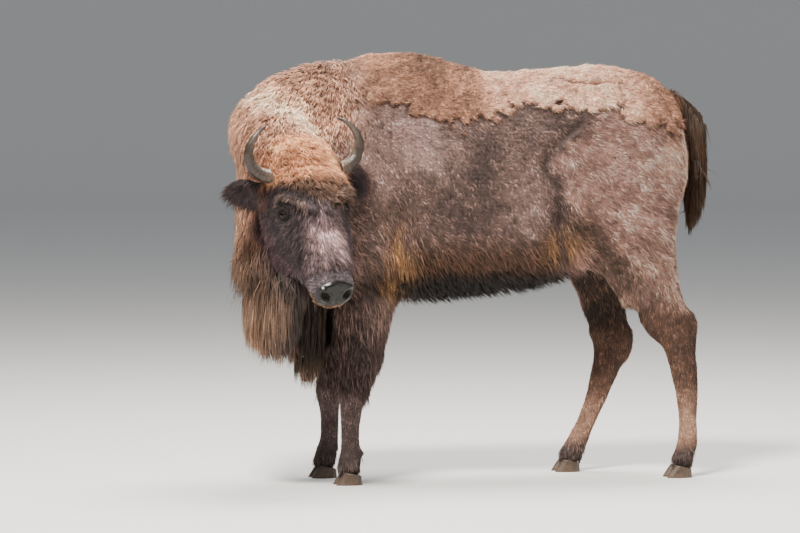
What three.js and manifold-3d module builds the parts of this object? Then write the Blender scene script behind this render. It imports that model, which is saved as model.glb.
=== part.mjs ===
// A wisent (European bison) cow, life size, standing with her head turned back over her left side: a still model.
// Millimetres, +Z up. She faces -X, her left side is towards -Y. The finished group stands on z = 0, with the
// middle of its bounding box above the origin.
//
// The outer surface of the coat is one smooth field: a profiled barrel for the trunk, another for the head, and
// round-ended masses for the neck, the legs and the long hair. The field is meshed region by region, at a cell
// size that suits each, and parted with thin cuts. Horns, ears, eyes and hooves are shapes of their own.
import * as THREE from "three";
import { mergeVertices } from "three/addons/utils/BufferGeometryUtils.js";
import Module from "manifold-3d";

const wasm = await Module();
wasm.setup();

// ---------------------------------------------------------------- driving dimensions

const GAP = 0.6; // width of the cut between two parts
const CLEAR = 0.4; // clearance round a part that is let into another
// The mesh size of each region.
const CELL = {
  trunk: 96,
  neck: 72,
  head: 32,
  mane: 60,
  upperLeg: { fore: 52, hind: 64 },
  lowerLeg: 41,
  tail: 40,
};
const BLEND = 70; // how softly one body mass runs into the next
const LEG_BLEND = 26;
const HEAD_BLEND = 30;
const END_ROUNDING = 60; // rounding of a barrel's ends
const BELLY_POWER = 2.2; // the trunk's underside is a little fuller than an ellipse

const POLL = [-697, -419, 1259]; // the forehead between the horns
const HEAD_TURN = 108.5; // degrees from straight ahead towards her left
const HEAD_PITCH = 64; // degrees that the face points below the horizon
const HEAD_ROLL = 13; // degrees that the right side of the head dips

const EYE = { along: 221, out: 113, up: -63, radius: 22 };
const EAR = {
  length: 186,
  width: 118,
  thickness: 11,
  cup: 26,
  along: 124, // place of its root, in the head's frame
  out: 122,
  up: -108,
  facing: [0.3, 0.2, 0.9], // the way its hollow opens
  spread: [-0.3, 0.94, -0.15], // the way it points: along, out and up
  laidBack: [-0.42, 0.74, -0.52],
};
const CLAW = { length: 104, width: 50, height: 58, heel: 34, slit: 4 };

const LEFT = -1; // the sign of y on her left side
const RIGHT = 1;
const SIDES = [LEFT, RIGHT];

// Where each leg stands: the middle of its foot, how far its dewclaws lie behind that, and the height at which
// its upper part ends.
const LEGS = [
  { name: "foreleg_left", kind: "fore", side: LEFT, foot: -474, y: -150, dewclaw: 52, bend: 345 },
  { name: "foreleg_right", kind: "fore", side: RIGHT, foot: -500, y: 150, dewclaw: 52, bend: 345 },
  { name: "hindleg_left", kind: "hind", side: LEFT, foot: 806, y: -165, dewclaw: 62, bend: 640 },
  { name: "hindleg_right", kind: "hind", side: RIGHT, foot: 460, y: 165, dewclaw: 62, bend: 552 },
];
const DEWCLAW = { along: 17, across: 12, up: 21, apart: 42, height: 118 };

// Trunk stations: x, top, bottom, half width, level of the greatest width, and the power of the roof, which is 2
// where it is round and less where it is ridged.
const TRUNK = [
  [-700, 1490, 880, 130, 1150, 1.7],
  [-600, 1568, 790, 190, 1120, 1.7],
  [-480, 1596, 715, 240, 1090, 1.65],
  [-360, 1609, 682, 258, 1080, 1.65],
  [-230, 1611, 668, 272, 1080, 1.65],
  [-80, 1590, 668, 288, 1080, 1.7],
  [0, 1562, 676, 296, 1080, 1.8],
  [130, 1534, 690, 302, 1090, 1.9],
  [250, 1540, 704, 298, 1105, 2.0],
  [370, 1550, 730, 284, 1130, 2.0],
  [510, 1563, 790, 258, 1170, 2.0],
  [630, 1552, 840, 236, 1190, 2.0],
  [740, 1522, 890, 200, 1195, 2.0],
  [810, 1474, 960, 160, 1205, 2.0],
  [866, 1376, 1050, 105, 1210, 2.0],
];

// Head stations from poll to nose, in the head's frame: along, face line, jaw line, half width, level of the
// greatest width, power of the roof.
const HEAD = [
  [-70, -20, -200, 96, -100, 2.2],
  [0, 22, -255, 128, -100, 2.4],
  [80, 38, -285, 140, -104, 2.4],
  [150, 34, -298, 146, -140, 2.1],
  [220, 22, -300, 148, -166, 1.9],
  [300, 6, -280, 142, -150, 1.9],
  [390, -6, -228, 108, -120, 2.1],
  [460, -14, -186, 85, -98, 2.4],
  [528, -24, -166, 76, -94, 2.6],
  [586, -54, -150, 58, -98, 2.3],
];

// Bulges on both sides of the head: along, out, up and radius at each end.
const HEAD_BULGES = {
  brow: [
    [160, 92, -44, 34],
    [238, 90, -54, 24],
  ],
  hornRoot: [
    [80, 66, -44, 52],
    [76, 104, -46, 34],
  ],
  nostrilWing: [
    [520, 48, -70, 26],
    [550, 40, -84, 20],
  ],
  cheek: [
    [200, 82, -200, 76],
    [300, 66, -182, 62],
  ],
};

// One horn from root to tip, in the head's frame: along, out, up, and radius.
const HORN = [
  [82, 84, -44, 28],
  [72, 150, -46, 27],
  [50, 188, -40, 25],
  [20, 210, -24, 22],
  [-16, 215, 2, 18],
  [-54, 192, 28, 12],
  [-80, 160, 38, 7],
  [-96, 130, 38, 2],
];

// ---------------------------------------------------------------- small helpers

const V = (x, y, z) => new THREE.Vector3(x, y, z);
const clamp = THREE.MathUtils.clamp;
const rad = THREE.MathUtils.degToRad;

// A smooth function through rows of numbers, the first of each row being the place along the way.
function through(rows) {
  const slope = (i, k) => {
    const a = rows[Math.max(i - 1, 0)];
    const b = rows[Math.min(i + 1, rows.length - 1)];
    return (b[k] - a[k]) / (b[0] - a[0]);
  };
  return (x) => {
    let i = 0;
    while (i < rows.length - 2 && x > rows[i + 1][0]) i++;
    const [a, b] = [rows[i], rows[i + 1]];
    const span = b[0] - a[0];
    const t = (x - a[0]) / span;
    const [t2, t3] = [t * t, t * t * t];
    return a.slice(1).map((v, j) => {
      const k = j + 1;
      return (
        v * (2 * t3 - 3 * t2 + 1) +
        slope(i, k) * span * (t3 - 2 * t2 + t) +
        b[k] * (3 * t2 - 2 * t3) +
        slope(i + 1, k) * span * (t3 - t2)
      );
    });
  };
}

// ---------------------------------------------------------------- fields: negative inside, positive outside

const softMin = (a, b, k) => {
  const h = Math.max(k - Math.abs(a - b), 0) / k;
  return Math.min(a, b) - (h * h * k) / 4;
};
const softMax = (a, b, k) => -softMin(-a, -b, k);
const blend = (fields, k) => (p) => fields.reduce((d, f) => softMin(d, f(p), k), 1e6);

// A tube along X whose section changes from station to station.
function barrel(rows, under) {
  const at = through(rows);
  const [x0, x1] = [rows[0][0], rows[rows.length - 1][0]];
  return (p) => {
    const [top, bottom, half, widest, roof] = at(clamp(p.x, x0, x1));
    const rise = p.z - widest;
    const reach = rise > 0 ? top - widest : widest - bottom;
    const power = rise > 0 ? roof : under;
    const q = (Math.abs(p.y / half) ** power + Math.abs(rise / reach) ** power) ** (1 / power);
    const side = q > 1e-3 ? Math.hypot(p.y, rise) * (1 - 1 / q) : -Math.min(half, reach);
    return softMax(side, Math.max(x0 - p.x, p.x - x1), END_ROUNDING);
  };
}

// A chain of round-ended masses through rows of x, y, z, radius. A flatness under 1 makes them thinner from side
// to side.
function chain(rows, flatness = 1) {
  return (p) => {
    let best = 1e6;
    for (let i = 0; i + 1 < rows.length; i++) {
      const [a, b] = [rows[i], rows[i + 1]];
      const along = [b[0] - a[0], (b[1] - a[1]) / flatness, b[2] - a[2]];
      const from = [p.x - a[0], (p.y - a[1]) / flatness, p.z - a[2]];
      const dot = from[0] * along[0] + from[1] * along[1] + from[2] * along[2];
      const t = clamp(dot / (along[0] ** 2 + along[1] ** 2 + along[2] ** 2), 0, 1);
      const off = Math.hypot(from[0] - t * along[0], from[1] - t * along[1], from[2] - t * along[2]);
      best = Math.min(best, off - (a[3] + t * (b[3] - a[3])));
    }
    return best;
  };
}

// ---------------------------------------------------------------- the head, in its own frame

// x runs from the poll to the nose, y to her left and z out of the face.
const headFrame = new THREE.Matrix4()
  .makeRotationFromEuler(new THREE.Euler(rad(HEAD_ROLL), rad(HEAD_PITCH), rad(HEAD_TURN + 180), "ZYX"))
  .setPosition(...POLL);
const toHead = headFrame.clone().invert();
const onHead = (x, y, z) => V(x, y, z).applyMatrix4(headFrame);
const headRow = (x, y, z, r) => [...onHead(x, y, z).toArray(), r];
const mirrored = (rows, side) => rows.map(([x, y, z, r]) => [x, side * y, z, r]);
const bulges = SIDES.flatMap((side) => Object.values(HEAD_BULGES).map((rows) => chain(mirrored(rows, side))));
const headShape = blend([barrel(HEAD, 2), ...bulges], HEAD_BLEND);
const head = (p) => headShape(p.clone().applyMatrix4(toHead));

// ---------------------------------------------------------------- the rest of the body

const trunk = barrel(TRUNK, BELLY_POWER);

const neck = [
  chain([
    [-500, 0, 1370, 176],
    [-640, -10, 1362, 182],
    [-735, -74, 1306, 176],
    [-748, -190, 1262, 158],
    headRow(10, 0, -130, 124),
  ]),
  chain([
    [-480, 0, 1110, 220],
    [-650, -20, 1100, 206],
    [-730, -96, 1080, 160],
    [-736, -210, 1060, 140],
    headRow(150, 0, -190, 116),
  ]),
  chain([
    [-540, 0, 900, 190],
    [-680, -40, 930, 156],
    [-732, -140, 920, 116],
  ]),
];
const shoulders = SIDES.map((side) =>
  chain(
    [
      [-330, side * 60, 1370, 110],
      [-470, side * 118, 1120, 132],
      [-470, side * 130, 940, 124],
    ],
    0.9,
  ),
);
const haunches = SIDES.map((side) =>
  chain([
    [430, side * 150, 1330, 100],
    [640, side * 130, 1280, 150],
    [765, side * 80, 1180, 112],
  ]),
);

// Each leg's masses from the top down, as x, distance outwards, z and radius.
const leg = (side, rows, flatness) => chain(mirrored(rows, side), flatness);
const foreleg = (side, arm, shin) => blend([leg(side, arm, 0.72), leg(side, shin, 0.86)], LEG_BLEND);
const hindLeg = (side, thigh, hock, shank) =>
  blend([leg(side, thigh, 0.62), leg(side, hock, 0.85), leg(side, shank, 0.82)], LEG_BLEND);

const legs = [
  foreleg(
    LEFT,
    [
      [-410, 140, 880, 130],
      [-402, 148, 716, 122],
      [-416, 150, 582, 108],
      [-424, 150, 459, 88],
      [-444, 150, 360, 62],
    ],
    [
      [-444, 150, 440, 60],
      [-456, 150, 330, 56],
      [-460, 150, 276, 48],
      [-463, 150, 200, 41],
      [-462, 150, 140, 43],
      [-470, 150, 66, 46],
    ],
  ),
  foreleg(
    RIGHT,
    [
      [-430, 140, 880, 130],
      [-430, 148, 716, 118],
      [-440, 150, 582, 104],
      [-452, 150, 459, 82],
      [-470, 150, 360, 60],
    ],
    [
      [-470, 150, 440, 58],
      [-478, 150, 330, 54],
      [-474, 150, 276, 46],
      [-472, 150, 200, 41],
      [-474, 150, 140, 43],
      [-496, 150, 66, 45],
    ],
  ),
  hindLeg(
    LEFT,
    [
      [640, 130, 1160, 210],
      [628, 160, 900, 176],
      [680, 170, 735, 138],
      [755, 170, 610, 100],
    ],
    [
      [868, 170, 600, 26],
      [838, 170, 530, 44],
    ],
    [
      [768, 170, 620, 84],
      [806, 168, 520, 68],
      [830, 166, 420, 56],
      [844, 165, 320, 50],
      [846, 165, 220, 40],
      [848, 165, 140, 45],
      [826, 165, 66, 44],
    ],
  ),
  hindLeg(
    RIGHT,
    [
      [640, 130, 1160, 210],
      [580, 158, 890, 172],
      [598, 165, 700, 112],
      [636, 165, 570, 90],
    ],
    [
      [716, 165, 515, 26],
      [690, 165, 455, 42],
    ],
    [
      [632, 165, 580, 84],
      [640, 165, 480, 70],
      [622, 164, 400, 58],
      [588, 162, 300, 48],
      [546, 160, 200, 40],
      [512, 160, 126, 45],
      [476, 160, 66, 44],
    ],
  ),
];

const throatMane = [
  chain([
    [-742, -110, 880, 112],
    [-766, -126, 720, 102],
    [-776, -134, 600, 84],
  ]),
  chain([
    [-765, -230, 860, 96],
    [-782, -236, 700, 96],
    [-790, -238, 610, 92],
    [-778, -238, 560, 58],
  ]),
  chain([
    [-748, -340, 790, 68],
    [-750, -342, 690, 68],
    [-756, -334, 590, 60],
    [-748, -326, 540, 38],
  ]),
];
const chestMane = [
  chain([
    [-590, -30, 800, 130],
    [-606, -44, 620, 102],
    [-604, -50, 470, 66],
    [-600, -56, 380, 26],
  ]),
];

const masses = [trunk, ...neck, ...haunches, ...shoulders, ...legs, ...throatMane, ...chestMane, head];
const body = blend(masses, BLEND);
const tail = chain([
  [826, 0, 1444, 44],
  [888, 0, 1392, 46],
  [922, -5, 1320, 48],
  [928, -10, 1200, 50],
  [924, -14, 1090, 48],
  [910, -16, 1000, 40],
  [896, -18, 918, 20],
]);

// ---------------------------------------------------------------- meshing a field

// Surface nets: one vertex in each cell that the surface crosses, drawn onto the surface afterwards.
function meshField(field, box, cell) {
  const size = box.getSize(V());
  const n = ["x", "y", "z"].map((a) => Math.ceil(size[a] / cell) + 2);
  const at = (i, j, k) => V(i - 0.5, j - 0.5, k - 0.5).multiplyScalar(cell).add(box.min);
  const walls = (p) => Math.max(...["x", "y", "z"].map((a) => Math.max(box.min[a] - p[a], p[a] - box.max[a])));
  const index = (i, j, k) => (k * n[1] + j) * n[0] + i;
  const value = new Float32Array(n[0] * n[1] * n[2]);
  for (let k = 0; k < n[2]; k++)
    for (let j = 0; j < n[1]; j++)
      for (let i = 0; i < n[0]; i++) {
        const p = at(i, j, k);
        value[index(i, j, k)] = Math.max(field(p), walls(p)) || 1e-4;
      }

  const corners = [0, 1, 2, 3, 4, 5, 6, 7].map((c) => [c & 1, (c >> 1) & 1, c >> 2]);
  const edges = [];
  for (let i = 0; i < 8; i++) for (const bit of [1, 2, 4]) if (!(i & bit)) edges.push([i, i | bit]);
  const points = [];
  const cellVertex = new Int32Array(value.length).fill(-1);
  for (let k = 0; k + 1 < n[2]; k++)
    for (let j = 0; j + 1 < n[1]; j++)
      for (let i = 0; i + 1 < n[0]; i++) {
        const f = corners.map(([a, b, c]) => value[index(i + a, j + b, k + c)]);
        const cut = edges.filter(([a, b]) => f[a] < 0 !== f[b] < 0);
        if (!cut.length) continue;
        const sum = V(0, 0, 0);
        for (const [a, b] of cut) {
          const t = f[a] / (f[a] - f[b]);
          const [pa, pb] = [a, b].map((c) => at(i + corners[c][0], j + corners[c][1], k + corners[c][2]));
          sum.add(pa.lerp(pb, t));
        }
        cellVertex[index(i, j, k)] = points.length;
        points.push(sum.divideScalar(cut.length));
      }

  const quads = [];
  const steps = [V(1, 0, 0), V(0, 1, 0), V(0, 0, 1)];
  for (let k = 0; k + 1 < n[2]; k++)
    for (let j = 0; j + 1 < n[1]; j++)
      for (let i = 0; i + 1 < n[0]; i++)
        steps.forEach((step, axis) => {
          const here = value[index(i, j, k)] < 0;
          if (here === value[index(i + step.x, j + step.y, k + step.z)] < 0) return;
          const [u, v] = [steps[(axis + 1) % 3], steps[(axis + 2) % 3]];
          const ring = [[0, 0], [1, 0], [1, 1], [0, 1]].map(([a, b]) => {
            const c = V(i, j, k).addScaledVector(u, -a).addScaledVector(v, -b);
            return cellVertex[index(c.x, c.y, c.z)];
          });
          quads.push(here ? ring : ring.reverse());
        });
  settle(points, quads, field, walls, cell);
  return geometryOf(points, quads.flatMap((q) => splitQuad(q, points)));
}

// Evens out the net and draws its vertices onto the surface. Those on the walls of the box stay where they are.
function settle(points, quads, field, walls, cell) {
  const free = points.map((p) => walls(p) < -0.75 * cell);
  const gradient = (p) => {
    const e = 0.5;
    const g = ["x", "y", "z"].map((a) => {
      const [hi, lo] = [p.clone(), p.clone()];
      hi[a] += e;
      lo[a] -= e;
      return (field(hi) - field(lo)) / (2 * e);
    });
    return V(...g);
  };
  for (let round = 0; round < 5; round++) {
    const sums = points.map(() => [V(0, 0, 0), 0]);
    for (const q of quads)
      q.forEach((v, i) => {
        const next = q[(i + 1) % 4];
        sums[v][0].add(points[next]);
        sums[next][0].add(points[v]);
        sums[v][1]++;
        sums[next][1]++;
      });
    points.forEach((p, i) => {
      if (!free[i]) return;
      if (round < 4) p.lerp(sums[i][0].divideScalar(sums[i][1]), 0.5);
      for (let pull = 0; pull < 2; pull++) {
        const g = gradient(p);
        const step = clamp(field(p) / Math.max(g.lengthSq(), 0.05), -cell / 2, cell / 2);
        p.addScaledVector(g, -step);
      }
    });
  }
}

// Two triangles, split along the shorter diagonal.
function splitQuad([a, b, c, d], points) {
  const along = points[a].distanceTo(points[c]) < points[b].distanceTo(points[d]);
  return along ? [a, b, c, a, c, d] : [a, b, d, b, c, d];
}

function geometryOf(points, triangles) {
  const g = new THREE.BufferGeometry();
  g.setAttribute("position", new THREE.Float32BufferAttribute(points.flatMap((p) => p.toArray()), 3));
  g.setIndex(triangles);
  return g;
}

// ---------------------------------------------------------------- closed solids that can be joined and cut

function solid(geometry) {
  const bare = new THREE.BufferGeometry();
  bare.setAttribute("position", geometry.getAttribute("position"));
  bare.setIndex(geometry.index);
  const merged = mergeVertices(bare, 1e-3);
  return new wasm.Manifold(
    new wasm.Mesh({
      numProp: 3,
      vertProperties: new Float32Array(merged.attributes.position.array),
      triVerts: new Uint32Array(merged.index.array),
    }),
  );
}

function geometryFrom(made) {
  const mesh = made.getMesh();
  const g = new THREE.BufferGeometry();
  const position = new Float32Array(mesh.numVert * 3);
  for (let i = 0; i < mesh.numVert; i++)
    position.set(mesh.vertProperties.subarray(i * mesh.numProp, i * mesh.numProp + 3), i * 3);
  g.setAttribute("position", new THREE.BufferAttribute(position, 3));
  g.setIndex(new THREE.BufferAttribute(new Uint32Array(mesh.triVerts), 1));
  return g;
}

// The largest connected piece, without crumbs that a cut leaves.
const largest = (made) => made.decompose().reduce((a, b) => (b.volume() > a.volume() ? b : a));

// The same solid with its surface pushed out by some millimetres, used to cut a neighbour clear of it.
function grown(made, by) {
  const g = geometryFrom(made);
  g.computeVertexNormals();
  const [p, n] = [g.attributes.position, g.attributes.normal];
  for (let i = 0; i < p.count; i++)
    p.setXYZ(i, p.getX(i) + by * n.getX(i), p.getY(i) + by * n.getY(i), p.getZ(i) + by * n.getZ(i));
  return solid(g);
}

// Everything on the far side of a plane, kept GAP / 2 away from it.
const FAR = 4000;
function beyond(point, normal) {
  const n = normal.clone().normalize();
  const g = new THREE.BoxGeometry(FAR, FAR, FAR);
  g.translate(0, 0, FAR / 2 + GAP / 2);
  g.applyQuaternion(new THREE.Quaternion().setFromUnitVectors(V(0, 0, 1), n));
  g.translate(point.x, point.y, point.z);
  return solid(g);
}

// The part of a solid inside a convex region, and the part outside it, GAP apart. A region is a list of planes,
// each a point and a normal into the region.
const inside = (made, region) => largest(region.reduce((m, plane) => m.intersect(beyond(...plane)), made));
function outside(made, region) {
  const [first, ...others] = region.map(([point, normal]) =>
    beyond(point.clone().addScaledVector(normal.clone().normalize(), -GAP), normal),
  );
  return largest(made.subtract(others.reduce((m, s) => m.intersect(s), first)));
}

const headNormal = (x, y, z) => V(x, y, z).transformDirection(headFrame);
const NECK_CUT = [V(-575, 0, 1150), V(-1, 0, 0.12)];
const HEAD_REGION = [
  [onHead(100, 0, -200), headNormal(0.6, 0, 0.8)],
  [onHead(300, 0, -282), headNormal(-0.43, 0, 0.9)],
  [onHead(0, 168, -200), headNormal(0, -1, 0.25)],
  [onHead(0, -168, -200), headNormal(0, 1, 0.25)],
  [V(-575, -265, 0), V(-0.35, -0.94, 0)],
];
const JAW_REGION = [[onHead(586, 0, -128), headNormal(0.22, 0, -1)]];
const MUZZLE_REGION = [[onHead(458, 0, -80), headNormal(1, 0, -0.15)]];
const MANE_REGION = [[V(-740, -160, 800), V(-0.1, -0.1, -1)]];
const CHEST_REGION = [[V(-600, 0, 720), V(-0.3, 0, -1)]];

// The region of each leg below the trunk, in front of or behind what else hangs there.
const LEG_REGIONS = {
  fore: (side) => [
    [V(-430, 0, 700), V(0, 0, -1)],
    [V(-545, 0, 600), V(1, 0, 0)],
    [V(-232, 0, 700), V(-1, 0, -0.3)],
    [V(0, 0, 0), V(0, side, 0)],
  ],
  hind: (side) => [
    [V(620, 0, 900), V(0.5, 0, -1)],
    [V(430, 0, 800), V(1, 0, -0.1)],
    [V(0, 0, 0), V(0, side, 0)],
  ],
};
const DOCK_REGION = [[V(0, 0, 1180), V(0, 0, 1)]];
const below = (z) => [V(0, 0, z), V(0, 0, -1)];
const above = (z) => [V(0, 0, z), V(0, 0, 1)];

const coronetSlope = (CLAW.height - CLAW.heel) / CLAW.length;
const coronet = (foot) => [V(foot, 0, (CLAW.height + CLAW.heel) / 2), V(coronetSlope, 0, 1)];

const boxOf = (x0, x1, y0, y1, z0, z1) => new THREE.Box3(V(x0, y0, z0), V(x1, y1, z1));
const meshBody = (box, cell) => solid(meshField(body, box, cell));
const without = (made, regions) => regions.reduce(outside, made);

// ---------------------------------------------------------------- horns, ears, eyes and hooves

// A closed tube of changing radius along a smooth curve, rounded at its end.
function horn(side) {
  const curve = new THREE.CatmullRomCurve3(HORN.map(([x, out, z]) => onHead(x, side * out, z)));
  const radius = through(HORN.map((row, i) => [i / (HORN.length - 1), row[3]]));
  const g = new THREE.CylinderGeometry(1, 1, 1, 9, 11).rotateX(Math.PI / 2);
  const p = g.attributes.position;
  const towards = headNormal(0, 0, 1);
  for (let i = 0; i < p.count; i++) {
    const t = p.getZ(i) + 0.5;
    const ahead = curve.getTangent(t);
    const up = towards.clone().cross(ahead).normalize();
    const across = up.clone().cross(ahead);
    const r = radius(t)[0];
    const at = curve.getPoint(t).addScaledVector(across, r * p.getX(i)).addScaledVector(up, r * p.getY(i));
    p.setXYZ(i, at.x, at.y, at.z);
  }
  return solid(g);
}

// A cupped leaf: a flattened ball bent into a trough that opens towards its hollow side.
function ear(side, [along, out, up], [hx, hy, hz]) {
  const g = new THREE.SphereGeometry(1, 10, 9).rotateZ(-Math.PI / 2);
  const axis = headNormal(along, side * out, up);
  const hollow = headNormal(hx, side * hy, hz).projectOnPlane(axis).normalize();
  const across = hollow.clone().cross(axis);
  const root = onHead(EAR.along, side * EAR.out, EAR.up);
  const p = g.attributes.position;
  for (let i = 0; i < p.count; i++) {
    const t = (p.getX(i) + 1) / 2;
    const w = (p.getY(i) * EAR.width * (1 + 0.12 * t) * (0.72 + 0.28 * Math.sin(Math.PI * t))) / 2;
    const depth = p.getZ(i) * EAR.thickness + EAR.cup * (4 * (w / EAR.width) ** 2 + 0.6 * t * t);
    const at = root.clone().addScaledVector(axis, EAR.length * t);
    at.addScaledVector(across, w).addScaledVector(hollow, depth);
    p.setXYZ(i, at.x, at.y, at.z);
  }
  return solid(g);
}

function eye(side) {
  const g = new THREE.SphereGeometry(EYE.radius, 10, 8);
  const at = onHead(EYE.along, side * EYE.out, EYE.up);
  return solid(g.translate(at.x, at.y, at.z));
}

// One half of a cloven hoof: flat sole, sloping toe, lower at the heel, flatter on the side of the cleft.
function claw(foot, y, inner) {
  const g = new THREE.CylinderGeometry(1, 1, 1, 10, 2).rotateX(Math.PI / 2);
  const p = g.attributes.position;
  for (let i = 0; i < p.count; i++) {
    const level = p.getZ(i) + 0.5;
    const forward = -p.getX(i);
    const toe = CLAW.length * (0.5 - 0.34 * level);
    const heel = CLAW.length * (-0.5 + 0.04 * level);
    const x = foot - (heel + ((toe - heel) * (forward + 1)) / 2);
    const bulge = 1 - 0.3 * Math.max(forward, 0) ** 2 * (1 - 0.5 * level);
    const flat = p.getY(i) * inner > 0 ? 0.82 : 1;
    const z = level * (coronet(foot)[0].z - coronetSlope * (x - foot) - GAP);
    p.setXYZ(i, x, y + ((p.getY(i) * CLAW.width) / 2) * bulge * flat, z);
  }
  return solid(g);
}

// The two small hooves behind a fetlock.
function dewclaws(leg) {
  return SIDES.map((s) => {
    const g = new THREE.SphereGeometry(1, 6, 5).scale(DEWCLAW.along, DEWCLAW.across, DEWCLAW.up).rotateY(-0.5);
    return solid(g.translate(leg.foot + leg.dewclaw, leg.y + (s * DEWCLAW.apart) / 2, DEWCLAW.height));
  });
}

// ---------------------------------------------------------------- the parts

const parts = {};

function makeTrunk() {
  const made = meshBody(boxOf(-760, 900, -420, 420, 560, 1680), CELL.trunk);
  const legRegions = LEGS.map((leg) => LEG_REGIONS[leg.kind](leg.side));
  parts.trunk = without(made, [[NECK_CUT], HEAD_REGION, CHEST_REGION, ...legRegions]);
}

function makeNeckAndManes() {
  const front = meshBody(boxOf(-960, -420, -560, 300, 480, 1640), CELL.neck);
  parts.neck = without(inside(front, [NECK_CUT]), [HEAD_REGION, MANE_REGION]);
  const throat = meshBody(boxOf(-960, -540, -480, 120, 440, 900), CELL.mane);
  parts.throat_mane = without(inside(throat, [NECK_CUT, ...MANE_REGION]), [HEAD_REGION]);
  const chest = meshBody(boxOf(-760, -480, -240, 200, 330, 840), CELL.mane);
  const forelegRegions = SIDES.map(LEG_REGIONS.fore);
  parts.chest_mane = without(inside(chest, CHEST_REGION), [[NECK_CUT], ...forelegRegions]);
}

function makeHead() {
  const made = inside(meshBody(boxOf(-1000, -480, -740, -200, 640, 1360), CELL.head), HEAD_REGION);
  parts.lower_jaw = inside(made, JAW_REGION);
  parts.muzzle = inside(outside(made, JAW_REGION), MUZZLE_REGION);
  parts.head = without(made, [JAW_REGION, MUZZLE_REGION]);
}

// Across the head, her left is +y in the head's frame.
function makeHornEyeAndEar(name, side, earPose) {
  const eyeball = eye(side);
  const clear = grown(parts.head, CLEAR);
  parts["horn_" + name] = largest(horn(side).subtract(clear));
  parts["eye_" + name] = eyeball;
  parts.head = largest(parts.head.subtract(grown(eyeball, CLEAR)));
  const around = [clear, grown(parts.neck, CLEAR), grown(parts.trunk, CLEAR)];
  const leaf = ear(side, earPose, EAR.facing);
  parts["ear_" + name] = largest(around.reduce((m, other) => m.subtract(other), leaf));
}

// The box round each leg that its upper mesh is made in, as front, back and top.
const UPPER_BOX = { fore: [-580, -200, 760], hind: [380, 920, 1080] };
const HALF_BODY = 330;

function makeLeg(leg) {
  const [front, back, top] = UPPER_BOX[leg.kind];
  const [y0, y1] = [Math.min(0, leg.side * HALF_BODY), Math.max(0, leg.side * HALF_BODY)];
  const upper = meshBody(boxOf(front, back, y0, y1, leg.bend - 60, top), CELL.upperLeg[leg.kind]);
  const thigh = inside(upper, [...LEG_REGIONS[leg.kind](leg.side), above(leg.bend)]);
  parts[leg.name + "_upper"] = grown(thigh, -CLEAR / 4); // this opens folds that touch
  const lower = meshBody(
    boxOf(leg.foot - 160, leg.foot + 320, leg.y - 130, leg.y + 130, 10, leg.bend + 50),
    CELL.lowerLeg,
  );
  const shin = inside(lower, [below(leg.bend), coronet(leg.foot)]);
  parts[leg.name + "_lower"] = dewclaws(leg).reduce((m, d) => m.add(d), shin);
  for (const s of SIDES) {
    const name = leg.name + (s === leg.side ? "_claw_outer" : "_claw_inner");
    parts[name] = claw(leg.foot, leg.y + (s * (CLAW.width + CLAW.slit)) / 2, -s);
  }
}

function makeTail() {
  const made = solid(meshField(tail, boxOf(760, 1020, -100, 100, 820, 1530), CELL.tail));
  const hanging = largest(made.subtract(grown(parts.trunk, CLEAR)));
  parts.tail_dock = inside(hanging, DOCK_REGION);
  parts.tail_switch = outside(hanging, DOCK_REGION);
}

makeTrunk();
makeNeckAndManes();
makeHead();
makeHornEyeAndEar("left", 1, EAR.laidBack);
makeHornEyeAndEar("right", -1, EAR.spread);
LEGS.forEach(makeLeg);
makeTail();

// ---------------------------------------------------------------- materials and the finished group

const MATERIALS = [
  [/^eye/, { color: 0x1c130e, roughness: 0.08 }],
  [/^horn/, { color: 0x4d483f, roughness: 0.45 }],
  [/claw/, { color: 0x2e2926, roughness: 0.6 }],
  [/^muzzle/, { color: 0x4a3f39, roughness: 0.7 }],
  [/^neck|mane/, { color: 0x8a6f5a, roughness: 0.95 }],
  [/^tail|lower|^ear/, { color: 0x4a382e, roughness: 0.95 }],
  [/./, { color: 0x6b5546, roughness: 0.95 }],
];

const wisent = new THREE.Group();
for (const [name, made] of Object.entries(parts)) {
  const [, look] = MATERIALS.find(([pattern]) => pattern.test(name));
  const mesh = new THREE.Mesh(geometryFrom(made), new THREE.MeshStandardMaterial({ metalness: 0, ...look }));
  mesh.name = name;
  wisent.add(mesh);
}
const whole = new THREE.Box3().setFromObject(wisent);
const middle = whole.getCenter(V());
wisent.position.set(-middle.x, -middle.y, -whole.min.z);

export default wisent;
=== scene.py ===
import math
from contextlib import contextmanager
from dataclasses import dataclass

import bmesh
import bpy
import numpy as np
from mathutils import Matrix, Vector
from mathutils.bvhtree import BVHTree


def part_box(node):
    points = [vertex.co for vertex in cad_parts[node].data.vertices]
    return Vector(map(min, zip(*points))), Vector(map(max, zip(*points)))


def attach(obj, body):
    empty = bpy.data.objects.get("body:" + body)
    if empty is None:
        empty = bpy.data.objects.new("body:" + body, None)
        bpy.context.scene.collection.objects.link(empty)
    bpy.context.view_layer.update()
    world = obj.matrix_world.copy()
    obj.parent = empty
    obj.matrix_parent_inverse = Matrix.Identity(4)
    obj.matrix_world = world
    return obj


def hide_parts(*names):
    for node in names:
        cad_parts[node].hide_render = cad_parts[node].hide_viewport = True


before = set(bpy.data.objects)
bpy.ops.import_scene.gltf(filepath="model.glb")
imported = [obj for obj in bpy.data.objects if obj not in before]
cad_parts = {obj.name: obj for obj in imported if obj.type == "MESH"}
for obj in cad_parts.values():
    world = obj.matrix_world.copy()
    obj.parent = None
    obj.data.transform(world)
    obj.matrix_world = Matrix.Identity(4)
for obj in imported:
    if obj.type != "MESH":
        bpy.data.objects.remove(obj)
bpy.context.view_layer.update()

# The wisent's looks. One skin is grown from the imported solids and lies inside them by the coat's
# depth. The coat over it is made of closed tapered locks, which follow a lie worked out at each
# point of the skin. Eyes, horns and hooves are pieces of their own.
# Metres; she faces -X, and her left side is towards -Y.

SEED = 7

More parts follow.
